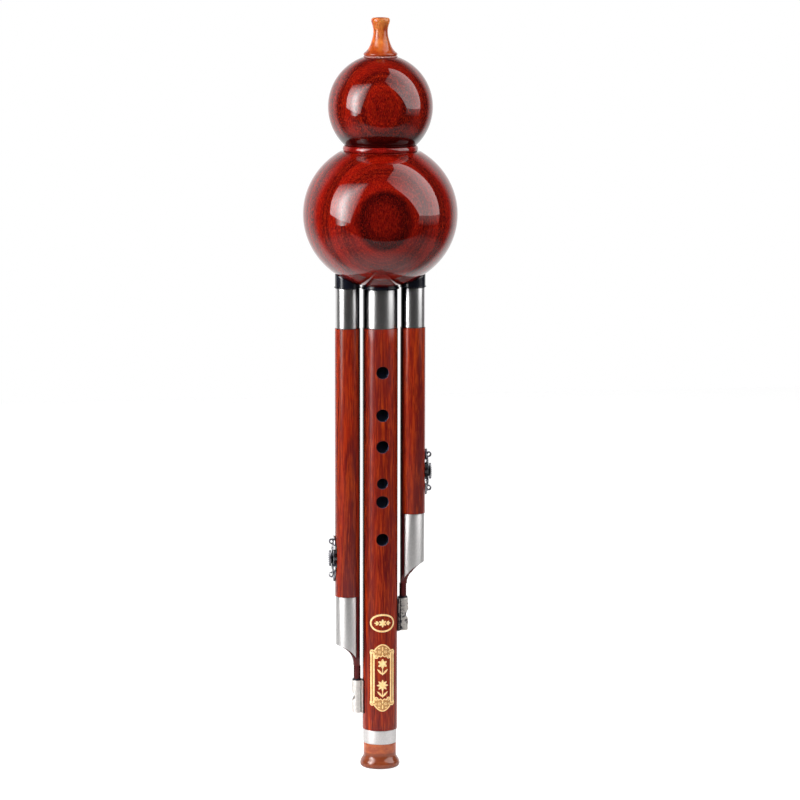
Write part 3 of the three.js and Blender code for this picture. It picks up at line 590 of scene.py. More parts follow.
def pipe_wood(name, pith, tilt, seed, shades, x, radius, tail=None, painted_occlusion=(0.35, 0.85), roughness=0.23):
    """Orange red with long brown streaks, under a thin satin finish. Painted shade darkens its holes and
    bore inside, nearer the axis at x than the radius, and its sides where neighbouring pipes hide them.
    Below the tail's height it is darker, partly the bare wood's tone and partly painted shade."""
    look, tree, shader, place, specks = wood(
        name, pith, tilt, (0.13, 0.45, 0.5, 0.7, 0.25), shades, (2.2, 0.06, 0.6, 0.5), (1.5, 0.05, 0.5),
        1.5, seed, Roughness=roughness, Specular_IOR_Level=0.3)
    bump(tree, shader, specks, 0.02, 0.25)
    blotches = noise(tree, place, 0.07, 4, 0.55, (1, 1, 0.25), (0, 0, seed))
    stain_and_shade(tree, shader, times(tree, ranged(tree, blotches, 0.5, 0.66), 0.5), (0.11, 0.011, 0.012))
    here_x, here_y, height = apart(tree, place)
    # Below the tail's height: darker, partly the bare wood's tone and partly painted shade
    if tail:
        stain_and_shade(tree, shader, times(tree, ranged(tree, height, tail + 0.1, tail - 0.1), 0.92), TAIL_TONE_AND_SHADE)
    across = node(tree, "CombineXYZ", {0: minus(tree, here_x, x), 1: here_y}).outputs[0]
    depth = length_of(tree, across)
    low = tail or PIPE_BOTTOM + 0.5
    along = times(tree, ranged(tree, height, low, low + 1), ranged(tree, height, PIPE_TOP - 2, PIPE_TOP - 3))
    inside = times(tree, ranged(tree, depth, radius, radius - 0.25), along)
    # Painted shade on the sides that neighbouring pipes hide
    shaded(tree, shader, 8.0, *painted_occlusion, (0.01, 0.003, 0.005), 0.92)
    # Painted shade, a dark navy, inside the holes and bore
    stain_and_shade(tree, shader, inside, (0.05, 0.065, 0.11))
    return look


PIPE_SHADES = ((0.47, 0.056, 0.006), (0.31, 0.018, 0.004), (0.085, 0.005, 0.005))
# The tails' darker colour: partly bare wood, partly painted shade
TAIL_TONE_AND_SHADE = (0.085, 0.008, 0.009)
PEG_SHADES = ((0.13, 0.012, 0.012), (0.08, 0.008, 0.009), (0.03, 0.004, 0.005))
LOWER_SHADES = ((0.40, 0.020, 0.003), (0.24, 0.0045, 0.0018), (0.07, 0.001, 0.001))
UPPER_SHADES = ((0.42, 0.022, 0.003), (0.21, 0.004, 0.0016), (0.055, 0.0008, 0.001))
RING_SHADES = ((0.36, 0.012, 0.006), (0.26, 0.006, 0.004), (0.13, 0.003, 0.002))

# Each bulb gets a painted dark reflection on its front; the upper one also painted shade above the neck ring
LOWER_WOOD = gourd_wood("lower_gourd_wood", LOWER_RADIUS, LOWER_CENTRE, -5.0, -0.3, 3.0, (16.5, 16.5, 0.9),
                        LOWER_SHADES, None)
UPPER_WOOD = gourd_wood("upper_gourd_wood", UPPER_RADIUS, UPPER_CENTRE, -6.0, 2.1, 41.0, (7.0, 9.0, 0.4),
                        UPPER_SHADES, (RING_TOP + 3.5, RING_TOP + 10.5))
RING_WOOD = gourd_wood("neck_ring_wood", UPPER_RADIUS, UPPER_CENTRE, 20.0, 0.0, 17.0, (1.0, 1.0, 0.0),
                       RING_SHADES, None)
MAIN_WOOD = pipe_wood("main_pipe_wood", (4.0, -24.0), (0.004, 0.05), 11.0, PIPE_SHADES, 0.0, 10.2,
                      painted_occlusion=(0.2, 0.6))
LEFT_WOOD = pipe_wood("left_pipe_wood", (-16.0, -19.0), (-0.004, -0.045), 61.0, PIPE_SHADES, -DRONE_X, 5.0,
                      DRONES["left"]["sleeve_top"])
RIGHT_WOOD = pipe_wood("right_pipe_wood", (30.0, -21.0), (0.006, -0.02), 93.0, PIPE_SHADES, DRONE_X, 5.0,
                       DRONES["right"]["sleeve_top"])
PEG_WOOD = pipe_wood("peg_wood", (0.0, -30.0), (0, 0), 7.0, PEG_SHADES, 0.0, 1.0, roughness=0.25)


def metal(name, colour, roughness, grain, patina=None, crevice_patina_and_shade=None, **inputs):
    """Bare metal with a fine grain, darker where the patina's noise is high and in its hollows: patina in
    small hollows, painted shade where a wider reach finds neighbouring parts.

    The grain has a scale, a stretch, a roughness and a relief. The patina has the noise's low and high
    level, its shade and its scale."""
    scale, stretch, unevenness, relief = grain
    look, tree, shader, place = new_look(name, Metallic=1.0, **inputs)
    fine = noise(tree, place, scale, 3, 0.6, stretch)
    rough = plus(tree, roughness, times(tree, fine, unevenness))
    tree.links.new(rough, shader.inputs["Roughness"])
    shade = mixed(tree, ranged(tree, fine, 0.3, 0.7), tuple(0.84 * c for c in colour), colour)
    if patina:
        low, high, patina_shade, patina_scale = patina
        broad = noise(tree, place, patina_scale, 3, 0.6)
        shade = mixed(tree, ranged(tree, broad, low, high), shade, patina_shade)
    tree.links.new(shade, shader.inputs["Base Color"])
    # Darker hollows: patina in small ones, painted shade where neighbouring parts lie within reach
    if crevice_patina_and_shade:
        shaded(tree, shader, *crevice_patina_and_shade)
    bump(tree, shader, fine, relief, 0.4)
    return look


NAVY = (0.012, 0.014, 0.022)
SHADOW = (0.02, 0.02, 0.025)
# Painted shade where the ferrules and sleeves face each other and on the dark clip towards the main pipe;
# the other casts darken their small hollows as patina
NICKEL = metal("nickel_silver_brushed", (0.71, 0.70, 0.70), 0.22, (2.5, (1, 1, 5), 0.14, 0.01),
               None, (12.0, 0.5, 0.88, SHADOW), Anisotropic=0.5, Anisotropic_Rotation=0.25)
NICKEL_SLEEVE = metal("nickel_silver_sleeve", (0.70, 0.685, 0.68), 0.48, (2.5, (1, 1, 0.3), 0.14, 0.01),
                      None, (8.0, 0.25, 0.7, SHADOW), Anisotropic=0.6, Anisotropic_Rotation=0.25)
NICKEL_BAND = metal("nickel_silver_band", (0.79, 0.765, 0.76), 0.5, (2.0, (1, 1, 0.5), 0.1, 0.01))
NICKEL_PLAIN = metal("nickel_silver_plain", (0.74, 0.72, 0.70), 0.2, (2.0, (1, 1, 1), 0.1, 0.01))
CAST = metal("cast_silver_look", (0.90, 0.86, 0.82), 0.42, (0.8, (1, 1, 1), 0.2, 0.06),
             (0.62, 0.8, (0.45, 0.4, 0.37), 0.35), (0.8, 0.35, 0.7, (0.2, 0.17, 0.15)))
CAST_DARK = metal("cast_silver_dark", (0.88, 0.82, 0.77), 0.3, (0.9, (1, 1, 1), 0.2, 0.12),
                  (0.5, 0.6, (0.09, 0.085, 0.1), 0.3), (5.0, 0.4, 0.8, NAVY))
SWITCH_CAST = metal("cast_silver_switch", (0.46, 0.455, 0.48), 0.22, (1.2, (1, 1, 1), 0.15, 0.03),
                    (0.42, 0.6, (0.10, 0.10, 0.13), 0.3), (2.0, 0.4, 0.85, NAVY))
BRASS = metal("brass_look", (0.75, 0.5, 0.2), 0.22, (1.5, (1, 1, 4), 0.15, 0.01))


def tangent(look):
    """Measures the direction of brushing from a circle round the vertical axis."""
    tree = look.node_tree
    made = node(tree, "Tangent", direction_type="RADIAL", axis="Z")
    tree.links.new(made.outputs[0], tree.nodes["Principled BSDF"].inputs["Tangent"])


tangent(NICKEL)
tangent(NICKEL_SLEEVE)


def resin(name, clear, deep, cloud, swirl_scale, stretch, lower=None, **inputs):
    """Cloudy amber resin with swirls between two colours.

    lower is a height, the shade below it and the length of the change."""
    look, tree, shader, place = new_look(name, **inputs)
    turn = noise(tree, place, 0.12, 2, 0.5)
    wisps = noise(tree, place, swirl_scale, 4, 0.6, stretch)
    colour = mixed(tree, ranged(tree, wisps, 0.36, 0.62), deep, clear)
    colour = mixed(tree, times(tree, ranged(tree, turn, 0.5, 0.75), 0.5), colour, cloud)
    tree.links.new(colour, shader.inputs["Base Color"])
    if lower:
        limit, shade, change = lower
        share = times(tree, ranged(tree, apart(tree, place)[2], limit + change, limit), 0.75)
        stain_and_shade(tree, shader, share, shade)
    return look


AMBER = resin("amber_look", (0.56, 0.11, 0.012), (0.30, 0.034, 0.005), (0.74, 0.29, 0.075),
              0.35, (1, 1, 0.3), (MOUTH_BOTTOM, (0.27, 0.026, 0.004), 9.0),
              Roughness=0.35, Specular_IOR_Level=0.1, Subsurface_Weight=0.12, Subsurface_Scale=0.002,
              Coat_Weight=0.65, Coat_Roughness=0.04)
DARK_AMBER = resin("dark_amber_look", (0.40, 0.083, 0.017), (0.27, 0.044, 0.010), (0.42, 0.11, 0.03),
                   0.2, (1, 1, 2), (8.8, (0.15, 0.028, 0.009), 1.0),
                   Roughness=0.4, Specular_IOR_Level=0.15, Subsurface_Weight=0.05, Subsurface_Scale=0.002,
                   Coat_Weight=0.9, Coat_Roughness=0.06)
WASHER = resin("washer_look", (0.62, 0.33, 0.30), (0.25, 0.06, 0.05), (0.8, 0.6, 0.58),
               1.5, (1, 1, 1), Roughness=0.3, Coat_Weight=1.0, Coat_Roughness=0.1)


def plain(name, colour, other, scale, relief=0.02, crevice_patina_and_shade=None, **inputs):
    """A dull material with mottling and a slight relief."""
    look, tree, shader, place = new_look(name, **inputs)
    mottle = noise(tree, place, scale, 4, 0.6)
    tree.links.new(mixed(tree, ranged(tree, mottle, 0.35, 0.65), colour, other), shader.inputs["Base Color"])
    if crevice_patina_and_shade:
        shaded(tree, shader, *crevice_patina_and_shade)
    bump(tree, shader, mottle, relief, 0.5)
    return look


RUBBER = plain("black_rubber_look", (0.004, 0.005, 0.010), (0.007, 0.008, 0.015), 1.0,
               Roughness=0.2, Specular_IOR_Level=0.5)
CORK = plain("cork_look", (0.42, 0.25, 0.12), (0.22, 0.11, 0.05), 0.8, relief=0.15, Roughness=0.85)
GILT = plain("gilt_look", (0.98, 0.74, 0.38), (0.86, 0.56, 0.22), 0.9, relief=0.03,
             crevice_patina_and_shade=(0.5, 0.45, 0.9, (0.42, 0.12, 0.04)), Roughness=0.42, Specular_IOR_Level=0.5)
GILT_GROUND = plain("gilt_ground_look", (0.50, 0.24, 0.07), (0.36, 0.15, 0.045), 1.4, relief=0.03,
                    Roughness=0.5, Specular_IOR_Level=0.4)


# The gourd

upper_inner = UPPER_RADIUS - UPPER_WALL
crown = BULB_TOP - UPPER_WALL
land_top = RING_TOP + LAND_HEIGHT
upper_outline = [
    (SPIGOT_RADIUS + FIT, RING_TOP),
    (UPPER_SEAT - 0.35, RING_TOP),
    *meridian(UPPER_RADIUS, UPPER_RADIUS, UPPER_CENTRE, -math.acos(UPPER_SEAT / UPPER_RADIUS) + 0.008,
              math.acos(MOUTH_SEAT / UPPER_RADIUS) - 0.008, 72),
    (MOUTH_SEAT - 0.5, BULB_TOP),
    (MOUTH_TENON + FIT, BULB_TOP),
    (MOUTH_TENON + FIT, crown),
    *meridian(upper_inner, upper_inner, UPPER_CENTRE, math.asin((crown - UPPER_CENTRE) / upper_inner),
              -math.asin((UPPER_CENTRE - land_top) / upper_inner), 32),
    (SPIGOT_RADIUS + FIT, land_top),
]
piece(turned(upper_outline, 144), "upper_bulb", "gourd", UPPER_WOOD)

ring_low = RING_BOTTOM + SEAT
ring_high = RING_TOP - SEAT
ring_outline = [
    (SPIGOT_RADIUS + FIT, ring_low),
    (NECK_RADIUS - 0.7, ring_low, 0.15),
    (NECK_RADIUS - 0.25, ring_low + 0.3, 0.3),
    (NECK_RADIUS + 0.05, ring_low + 0.9, 0.4),
    (NECK_RADIUS + 0.1, ring_low + 1.9, 0.8),
    (NECK_RADIUS - 0.35, ring_high - 0.35, 0.5),
    (NECK_RADIUS - 0.9, ring_high, 0.3),
    (SPIGOT_RADIUS + FIT, ring_high),
]
piece(turned(ring_outline, 144), "neck_ring", "gourd", RING_WOOD)

lower_inner = LOWER_RADIUS - LOWER_WALL
lower_inner_half = LOWER_HALF - LOWER_WALL
lower_crown = RING_BOTTOM - LOWER_WALL
throat = SPIGOT_RADIUS - SPIGOT_WALL
spigot_top = land_top - 0.3
lower_outline = [
    *meridian(LOWER_RADIUS, LOWER_HALF, LOWER_CENTRE, -math.pi / 2,
              math.acos(LOWER_SEAT / LOWER_RADIUS) - 0.006, 90),
    (LOWER_SEAT - 0.5, RING_BOTTOM),
    (SPIGOT_RADIUS, RING_BOTTOM),
    (SPIGOT_RADIUS, spigot_top),
    (throat, spigot_top),
    (throat, lower_crown),
    *meridian(lower_inner, lower_inner_half, LOWER_CENTRE,
              math.asin((lower_crown - LOWER_CENTRE) / lower_inner_half), -math.pi / 2, 40),
]
lower = turned(lower_outline, 160)
holes = [bar((s["x"], 0, 285), (s["x"], 0, 330), s["plug"] + FIT, 72) for s in SOCKETS.values()]
piece(combined(lower, holes), "lower_bulb", "gourd", LOWER_WOOD)

# The mouthpiece's outer curve from its base to its lip, as radius and height above the base
MOUTH_CURVE = [
    (9.35, 0.0), (9.8, 0.35), (9.98, 0.95), (9.9, 1.4), (9.6, 1.8), (9.1, 2.2), (8.5, 2.75),
    (7.8, 3.5), (7.1, 4.5), (6.45, 5.7), (5.85, 7.1), (5.3, 8.8), (4.75, 10.6), (4.4, 12.4),
    (4.28, 14.0), (4.35, 15.6), (4.65, 17.2), (5.05, 18.6), (5.38, 19.6), (5.54, 20.4),
    (5.5, 21.2), (5.25, 21.9), (4.65, 22.35), (3.95, 22.5), (3.3, 22.35), (2.7, 21.9), (2.3, 21.2),
]


def smooth_curve(points):
    """A smooth line through all the points."""
    steps = 4
    points = [np.array(p, float) for p in points]
    padded = [2 * points[0] - points[1], *points, 2 * points[-1] - points[-2]]
    made = []
    for a, b, c, d in zip(padded, padded[1:], padded[2:], padded[3:]):
        for step in range(steps):
            t = step / steps
            made.append(0.5 * (2 * b + (c - a) * t + (2 * a - 5 * b + 4 * c - d) * t**2
                               + (3 * b - a - 3 * c + d) * t**3))
    made.append(points[-1])
    return made


mouth_outline = [
    (MOUTH_BORE, MOUTH_BOTTOM - 8),
    (MOUTH_TENON, MOUTH_BOTTOM - 8, 0.4),
    (MOUTH_TENON, MOUTH_BOTTOM),
    *[(r, MOUTH_BOTTOM + h) for r, h in smooth_curve(MOUTH_CURVE)],
    (MOUTH_BORE, MOUTH_BOTTOM + 20),
]
piece(turned(mouth_outline, 96), "mouthpiece", "gourd", AMBER)


def washer_shape():
    """A ring whose edge is knurled like a rope."""
    low = BULB_TOP + SEAT
    high = low + 0.75
    hole = MOUTH_TENON + FIT
    profile = [(hole, low), (9.6, low), (10.0, low + 0.12), (10.1, low + 0.38), (9.95, high - 0.1),
               (9.6, high), (hole, high)]
    edge_rows = (2, 3, 4)
    strands = 54
    columns = 8 * strands
    made = []
    for row, (radius, height) in enumerate(profile):
        for column in range(columns):
            angle = 2 * math.pi * column / columns
            knurl = 0.16 * math.sin(strands * angle + row * 0.9) - 0.1 if row in edge_rows else 0
            made.append(((radius + knurl) * math.cos(angle), (radius + knurl) * math.sin(angle), height))
    return tidy(new_object(made, grid_faces(len(profile), columns)))


piece(washer_shape(), "mouthpiece_washer", "gourd", WASHER, sharp=80)


def bulb_height(x, y):
    """Height of the lower bulb's underside, with the gap to what fits against it."""
    reach = (x * x + y * y) / (LOWER_RADIUS + FIT) ** 2
    return LOWER_CENTRE - (LOWER_HALF + FIT) * math.sqrt(1 - reach)


def collar_shape(socket):
    """A rubber collar whose skirt ends in a feather edge along the bulb."""
    columns = 112
    bottom = socket["ferrule_top"] + SEAT
    ledge = bottom + socket["flange_height"]
    inner = socket["neck"] + FIT
    base = outline_of([(inner, bottom), (socket["flange"], bottom, 0.25), (socket["flange"], ledge, 0.2),
                       (socket["body"], ledge)])
    rows = [[(r, z)] * columns for r, z in base]
    angles = [2 * math.pi * column / columns for column in range(columns)]

    def along(radius, drop=0.0):
        return [(radius, bulb_height(socket["x"] + radius * math.cos(a), radius * math.sin(a)) - drop)
                for a in angles]

    edge = along(socket["body"], 0.22)
    for share in np.linspace(0, 1, 8)[1:]:
        rows.append([(r, ledge + max(0.02, z - ledge) * share) for r, z in edge])
    rows.append(along(socket["body"] - 0.06, 0.07))
    for radius in np.linspace(socket["body"] - 0.2, socket["plug"], 4):
        rows.append(along(radius))
    rows.append([(socket["plug"], socket["collar_top"])] * columns)
    rows.append([(inner, socket["collar_top"])] * columns)
    made = []
    for row in rows:
        for (radius, height), angle in zip(row, angles):
            made.append((socket["x"] + radius * math.cos(angle), radius * math.sin(angle), height))
    return tidy(new_object(made, grid_faces(len(rows), columns)))


def ferrule_shape(socket):
    """A stepped metal sleeve with a fine rolled lip at its mouth."""
    radius, wall, neck = socket["radius"], socket["wall"], socket["neck"]
    top, step = socket["ferrule_top"], socket["ferrule_top"] - wall
    low = PIPE_TOP + SEAT
    outline = [
        (radius - wall, low),
        (radius - 0.05, low, 0.25),
        (radius, low + 0.35, 0.2),
        (radius, top, 0.45),
        (neck, top),
        (neck, socket["neck_top"], 0.2),
        (neck - wall, socket["neck_top"]),
        (neck - wall, step),
        (radius - wall, step),
    ]
    return turned(outline, 112, socket["x"])


for side, socket in SOCKETS.items():
    piece(collar_shape(socket), side + "_collar", "gourd", RUBBER)
    piece(ferrule_shape(socket), side + "_ferrule", "gourd", NICKEL)


# The main pipe

HOLE_RADIUS = 3.75
FINGER_HOLES = [(240.3, 1), (214.7, 1), (195.8, 1), (173.7, 0.88), (162.7, 1), (139.9, 1)]
MAIN_HOLES = [
    *[(z, HOLE_RADIUS * share, FRONT) for z, share in FINGER_HOLES],
    (252.9, HOLE_RADIUS, BACK),
    (96.3, HOLE_RADIUS, BACK),
]
PIERCED_COLUMNS = 96
HALF_COLUMNS = 12
HALF_PATCH = 5.2
PATCH_ROWS = 8
HOLE_EDGE = 0.35


def pierced_tube(radius, bore, before, after, low, high, holes):
    """A tube with round side holes. Its outline runs before, up the outside, after, and down the bore.

    Each hole is cut from a square patch of the wall, HALF_COLUMNS to either side of its middle."""
    columns = PIERCED_COLUMNS
    levels = {low, high}
    for z, _, _ in holes:
        for row in range(PATCH_ROWS + 1):
            levels.add(round(z - HALF_PATCH + 2 * HALF_PATCH * row / PATCH_ROWS, 4))
    levels = sorted(levels)
    rings = [*before, *[(radius, z) for z in levels], *after, *[(bore, z) for z in reversed(levels)]]
    outer_start = len(before)
    inner_start = outer_start + len(levels) + len(after)
    step = 2 * math.pi / columns
    points = []
    for r, z in rings:
        points += [(r * math.cos(step * c), r * math.sin(step * c), z) for c in range(columns)]
    windows = set()
    patches = []
    for z, size, angle in holes:
        first = levels.index(round(z - HALF_PATCH, 4))
        middle = round(angle / step)
        square = [(0, c) for c in range(-HALF_COLUMNS, HALF_COLUMNS)]
        square += [(r, HALF_COLUMNS) for r in range(PATCH_ROWS)]
        square += [(PATCH_ROWS, c) for c in range(HALF_COLUMNS, -HALF_COLUMNS, -1)]
        square += [(r, -HALF_COLUMNS) for r in range(PATCH_ROWS, 0, -1)]
        patches.append((z, size, middle * step, first, middle, square))
        for r in range(PATCH_ROWS):
            for c in range(-HALF_COLUMNS, HALF_COLUMNS):
                windows.add((outer_start + first + r, (middle + c) % columns))
                windows.add((inner_start + len(levels) - 2 - first - r, (middle + c) % columns))
    faces = []
    for index, face in enumerate(grid_faces(len(rings), columns)):
        if divmod(index, columns) not in windows:
            faces.append(face)
    for z, size, angle, first, middle, square in patches:
        outside = [(outer_start + first + r) * columns + (middle + c) % columns for r, c in square]
        inside = [(inner_start + len(levels) - 1 - first - r) * columns + (middle + c) % columns
                  for r, c in square]
        spots = [(c / HALF_COLUMNS, 2 * r / PATCH_ROWS - 1) for r, c in square]
        loops = [outside]

        def loop(wall, hole, share):
            """One loop from the square, at share 0, to the hole's circle, at share 1."""
            made = []
            for a, b in spots:
                t = math.atan2(b, a)
                turn = (1 - share) * a * HALF_COLUMNS * step
                turn += share * math.asin(hole * math.cos(t) / wall)
                rise_here = (1 - share) * b * HALF_PATCH + share * hole * math.sin(t)
                made.append(len(points))
                points.append((wall * math.cos(angle + turn), wall * math.sin(angle + turn), z + rise_here))
            loops.append(made)

        for share in (0.35, 0.7, 0.93):
            loop(radius, size + HOLE_EDGE, share)
        for bend in (0, 25, 50, 75, 90):
            tilt = math.radians(bend)
            loop(radius - HOLE_EDGE * (1 - math.cos(tilt)), size + HOLE_EDGE * (1 - math.sin(tilt)), 1)
        for wall in np.linspace(radius - HOLE_EDGE, bore, 4)[1:]:
            loop(wall, size, 1)
        loop(bore, size, 0.5)
        loops.append(inside)
        for here, there in zip(loops, loops[1:]):
            count = len(here)
            for index in range(count):
                after_it = (index + 1) % count
                faces.append((here[index], here[after_it], there[after_it], there[index]))
    return new_object(points, faces)


main_before = [
    (MAIN_BORE, TUBE_BOTTOM),
    (MAIN_TAIL_RADIUS - 0.2, TUBE_BOTTOM),
    (MAIN_TAIL_RADIUS, TUBE_BOTTOM + 0.2),
    (MAIN_TAIL_RADIUS, PIPE_BOTTOM),
    (MAIN_RADIUS - 0.2, PIPE_BOTTOM),
    (MAIN_RADIUS - 0.06, PIPE_BOTTOM + 0.06),
    (MAIN_RADIUS, PIPE_BOTTOM + 0.2),
]
main_after = [
    (MAIN_RADIUS - 0.06, PIPE_TOP - 0.06),
    (MAIN_RADIUS - 0.2, PIPE_TOP),
    (MAIN_TENON, PIPE_TOP),
    (MAIN_TENON, CORK_BOTTOM),
    (MAIN_CORK_CORE, CORK_BOTTOM),
    (MAIN_CORK_CORE, CORK_TOP),
    (MAIN_TENON, CORK_TOP),
    (MAIN_TENON, TENON_TOP - 0.3),
    (MAIN_TENON - 0.3, TENON_TOP),
    (MAIN_BORE, TENON_TOP),
]
main_tube = pierced_tube(MAIN_RADIUS, MAIN_BORE, main_before, main_after, PIPE_BOTTOM + 3,
                         PIPE_TOP - 0.2, MAIN_HOLES)
tidy(main_tube, 1e-5)
screw_holes = []
for drone in DRONES.values():
    height = drone["clip_top"] - CLIP_HEIGHT / 2
    outward = math.cos(drone["turn"])
    screw_holes.append(bar((outward * 7, 0, height), (outward * 12, 0, height), SCREW_RADIUS + FIT, 24))
combined(main_tube, screw_holes)
piece(main_tube, "main_tube", "main_pipe", MAIN_WOOD)

band_outline = [
    (MAIN_TAIL_RADIUS + FIT, BAND_BOTTOM + SEAT),
    (BAND_RADIUS, BAND_BOTTOM + SEAT, 0.4),
    (BAND_RADIUS, PIPE_BOTTOM - SEAT, 0.4),
    (MAIN_TAIL_RADIUS + FIT, PIPE_BOTTOM - SEAT),
]
piece(turned(band_outline, 112), "foot_band", "main_pipe",
      NICKEL_BAND)

FOOT_CURVE = [
    (9.2, 0.05), (10.1, 0.12), (11.0, 0.5), (11.6, 1.15), (11.85, 2.1), (11.84, 3.0), (11.55, 4.1),
    (11.0, 5.1), (10.45, 6.0), (10.08, 6.8), (9.93, 7.5), (9.9, 8.2), (9.9, 11.0), (9.9, 14.6),
]
foot_outline = [
    (7.2, 0, 0.5),
    *smooth_curve(FOOT_CURVE),
    (9.6, BAND_BOTTOM),
    (MAIN_TAIL_RADIUS + FIT, BAND_BOTTOM),
    (MAIN_TAIL_RADIUS + FIT, TUBE_BOTTOM - SEAT),
    (MAIN_BORE, TUBE_BOTTOM - SEAT),
    (MAIN_BORE, 2.5),
]
piece(turned(foot_outline, 112), "foot_bell", "main_pipe", DARK_AMBER)


# The tail clips, built in the right drone pipe's place

def saddle_wall(inner, thickness, bottom, top):
    return sector(inner, inner + thickness, -SADDLE_ANGLE, SADDLE_ANGLE, bottom, top, 32)


def clip_scrolls(middle):
    """Two pairs of scrolls that lie on the clip's barrel."""
    made = []
    for end in (-1, 1):
        for turn in (-1, 1):
            path = []
            for share in np.arange(30) / 29:
                angle = share * 2.6 * math.pi
                reach = 1.9 * (1 - 0.72 * share)
                z = middle + end * 4.6 + reach * math.sin(angle) * turn
                y = end * turn * 0.2 + reach * math.cos(angle)
                path.append((CLIP_X + math.sqrt(3.2**2 - min(3.0, abs(y)) ** 2), y, z))
            made.append(rope(path, lambda share: 0.34 - 0.14 * share, 6))
    return made


def clip_shape(drone, ornate):
    """A barrel on a saddle, with a socket for the bush and the peg and a hole for the screw's driver."""
    top = drone["clip_top"]
    bottom = top - CLIP_HEIGHT
    middle = (top + bottom) / 2
    saddle = MAIN_RADIUS + 2 * FIT + PAD_WALL
    barrel_outline = [(0, bottom), (CLIP_RADIUS, bottom, 0.5), (CLIP_RADIUS, top, 0.3), (0, top)]
    barrel = turned(barrel_outline, 64, CLIP_X)
    near = sector(5, saddle, -1.2, 1.2, bottom - 1, top + 1)
    wall = saddle_wall(saddle, 0.8, bottom, top)
    cheek = [(12.2, -2.9), (14.2, -3.0), (14.2, 3.0), (12.2, 2.9)]
    cheeks = swept([[(x, y, z) for x, y in cheek] for z in (bottom + 0.3, top - 0.3)])
    scrolls = clip_scrolls(middle) if ornate else []
    made = cast([combined(barrel, [near]), wall, cheeks, *scrolls], voxel=0.17)
    floor_z = bottom + 1.2
    ledge_z = top - BUSH_DEPTH - SEAT
    mouth = BUSH_RADIUS + FIT
    hollow = turned([(0, floor_z), (CLIP_BORE, floor_z), (CLIP_BORE, ledge_z), (mouth, ledge_z),
                     (mouth, top + 1), (0, top + 1)], 48, CLIP_X)
    access = bar((CLIP_X, 0, middle), (CLIP_X + 5, 0, middle), 2.6)
    seat = bar((11.6, 0, middle), (CLIP_X, 0, middle), SCREW_HEAD + FIT, 32)
    shank = bar((9, 0, middle), (CLIP_X, 0, middle), SCREW_RADIUS + FIT, 32)
    return combined(made, [hollow, access, seat, shank])


def bush_shape(drone):
    top = drone["clip_top"]
    outline = [
        (BUSH_BORE, top - BUSH_DEPTH), (BUSH_RADIUS, top - BUSH_DEPTH), (BUSH_RADIUS, top + SEAT),
        (BUSH_RIM, top + SEAT, 0.1), (BUSH_RIM, top + 0.9, 0.3), (BUSH_BORE, top + 0.9),
    ]
    return turned(outline, 64, CLIP_X)


def pad_shape(drone):
    top = drone["clip_top"]
    middle = top - CLIP_HEIGHT / 2
    wall = saddle_wall(MAIN_RADIUS + FIT, PAD_WALL, top - CLIP_HEIGHT, top)
    return combined(wall, [bar((9, 0, middle), (13, 0, middle), SCREW_RADIUS + FIT, 32)])


def screw_shape(drone):
    """A slotted screw, lying along X."""
    head = CLIP_X - CLIP_BORE + FIT
    outline = [(0, SCREW_TIP), (SCREW_RADIUS, SCREW_TIP, 0.2), (SCREW_RADIUS, head + 0.2),
               (SCREW_HEAD, head, 0.05), (SCREW_HEAD, head + 0.9, 0.3), (0, head + 0.9)]
    groove = block((-1.5, -0.17, head + 0.55), (1.5, 0.17, head + 1.5))
    made = combined(turned(outline, 40), [groove])
    return raised(laid_down(made), drone["clip_top"] - CLIP_HEIGHT / 2)


# The drone pipes, built about their own axes with +X away from the main pipe

TONE_HOLE = 1.4
SIDE_CUT_RADIUS = 9
SIDE_CUT_Y = 11.1
PEG_TENON_HEIGHT = 5.0


def cross_bar(radius, z, sides=200):
    """A bar across the tail, which cuts its scoop."""
    return bar((SCOOP_X, -9, z), (SCOOP_X, 9, z), radius, sides)


def drone_tube(drone):
    bottom, top = drone["bottom"], drone["sleeve_top"]
    bore_end = drone["switch"] - 17
    tone_z = drone["switch"] + 1.6
    outline = [
        (0, bottom), (DRONE_RADIUS, bottom), (DRONE_RADIUS, PIPE_TOP, 0.2), (DRONE_TENON, PIPE_TOP),
        (DRONE_TENON, CORK_BOTTOM), (DRONE_CORK_CORE, CORK_BOTTOM), (DRONE_CORK_CORE, CORK_TOP),
        (DRONE_TENON, CORK_TOP), (DRONE_TENON, TENON_TOP, 0.3), (DRONE_BORE, TENON_TOP),
        (DRONE_BORE, bore_end), (0, bore_end),
    ]
    turn = math.pi - drone["slot"] + 0.3 / DRONE_RADIUS
    cutters = [
        sector(SLEEVE_RADIUS - SLEEVE_WALL - FIT, 9, -turn, turn, bottom - 1, top, 72),
        cross_bar(SCOOP_RADIUS, bottom),
        *[bar((-9, y, bottom), (9, y, bottom), SIDE_CUT_RADIUS, 120) for y in (SIDE_CUT_Y, -SIDE_CUT_Y)],
        bar((0, 0, tone_z), (9, 0, tone_z), TONE_HOLE, 40),
        bar((PEG_X, 0, bottom - 1), (PEG_X, 0, bottom + PEG_TENON_HEIGHT + 0.3), PEG_TENON + FIT, 32),
    ]
    for end in (-1, 1):
        height = drone["switch"] + end * PIN_RISE
        cutters.append(bar((6.2, 0, height), (9, 0, height), PIN_RADIUS + FIT, 24))
    return bevelled(combined(turned(outline, 96), cutters), 0.1)


def sleeve_shape(drone):
    turn = math.pi - drone["slot"]
    drop = math.sqrt(drone["scoop"] ** 2 - (SCOOP_X - DRONE_RADIUS) ** 2)
    wall = sector(SLEEVE_RADIUS - SLEEVE_WALL, SLEEVE_RADIUS, -turn, turn, drone["bottom"],
                  drone["sleeve_top"] - SEAT, 120)
    return bevelled(combined(wall, [cross_bar(drone["scoop"], drone["tip"] - drop, 320)]), 0.14)


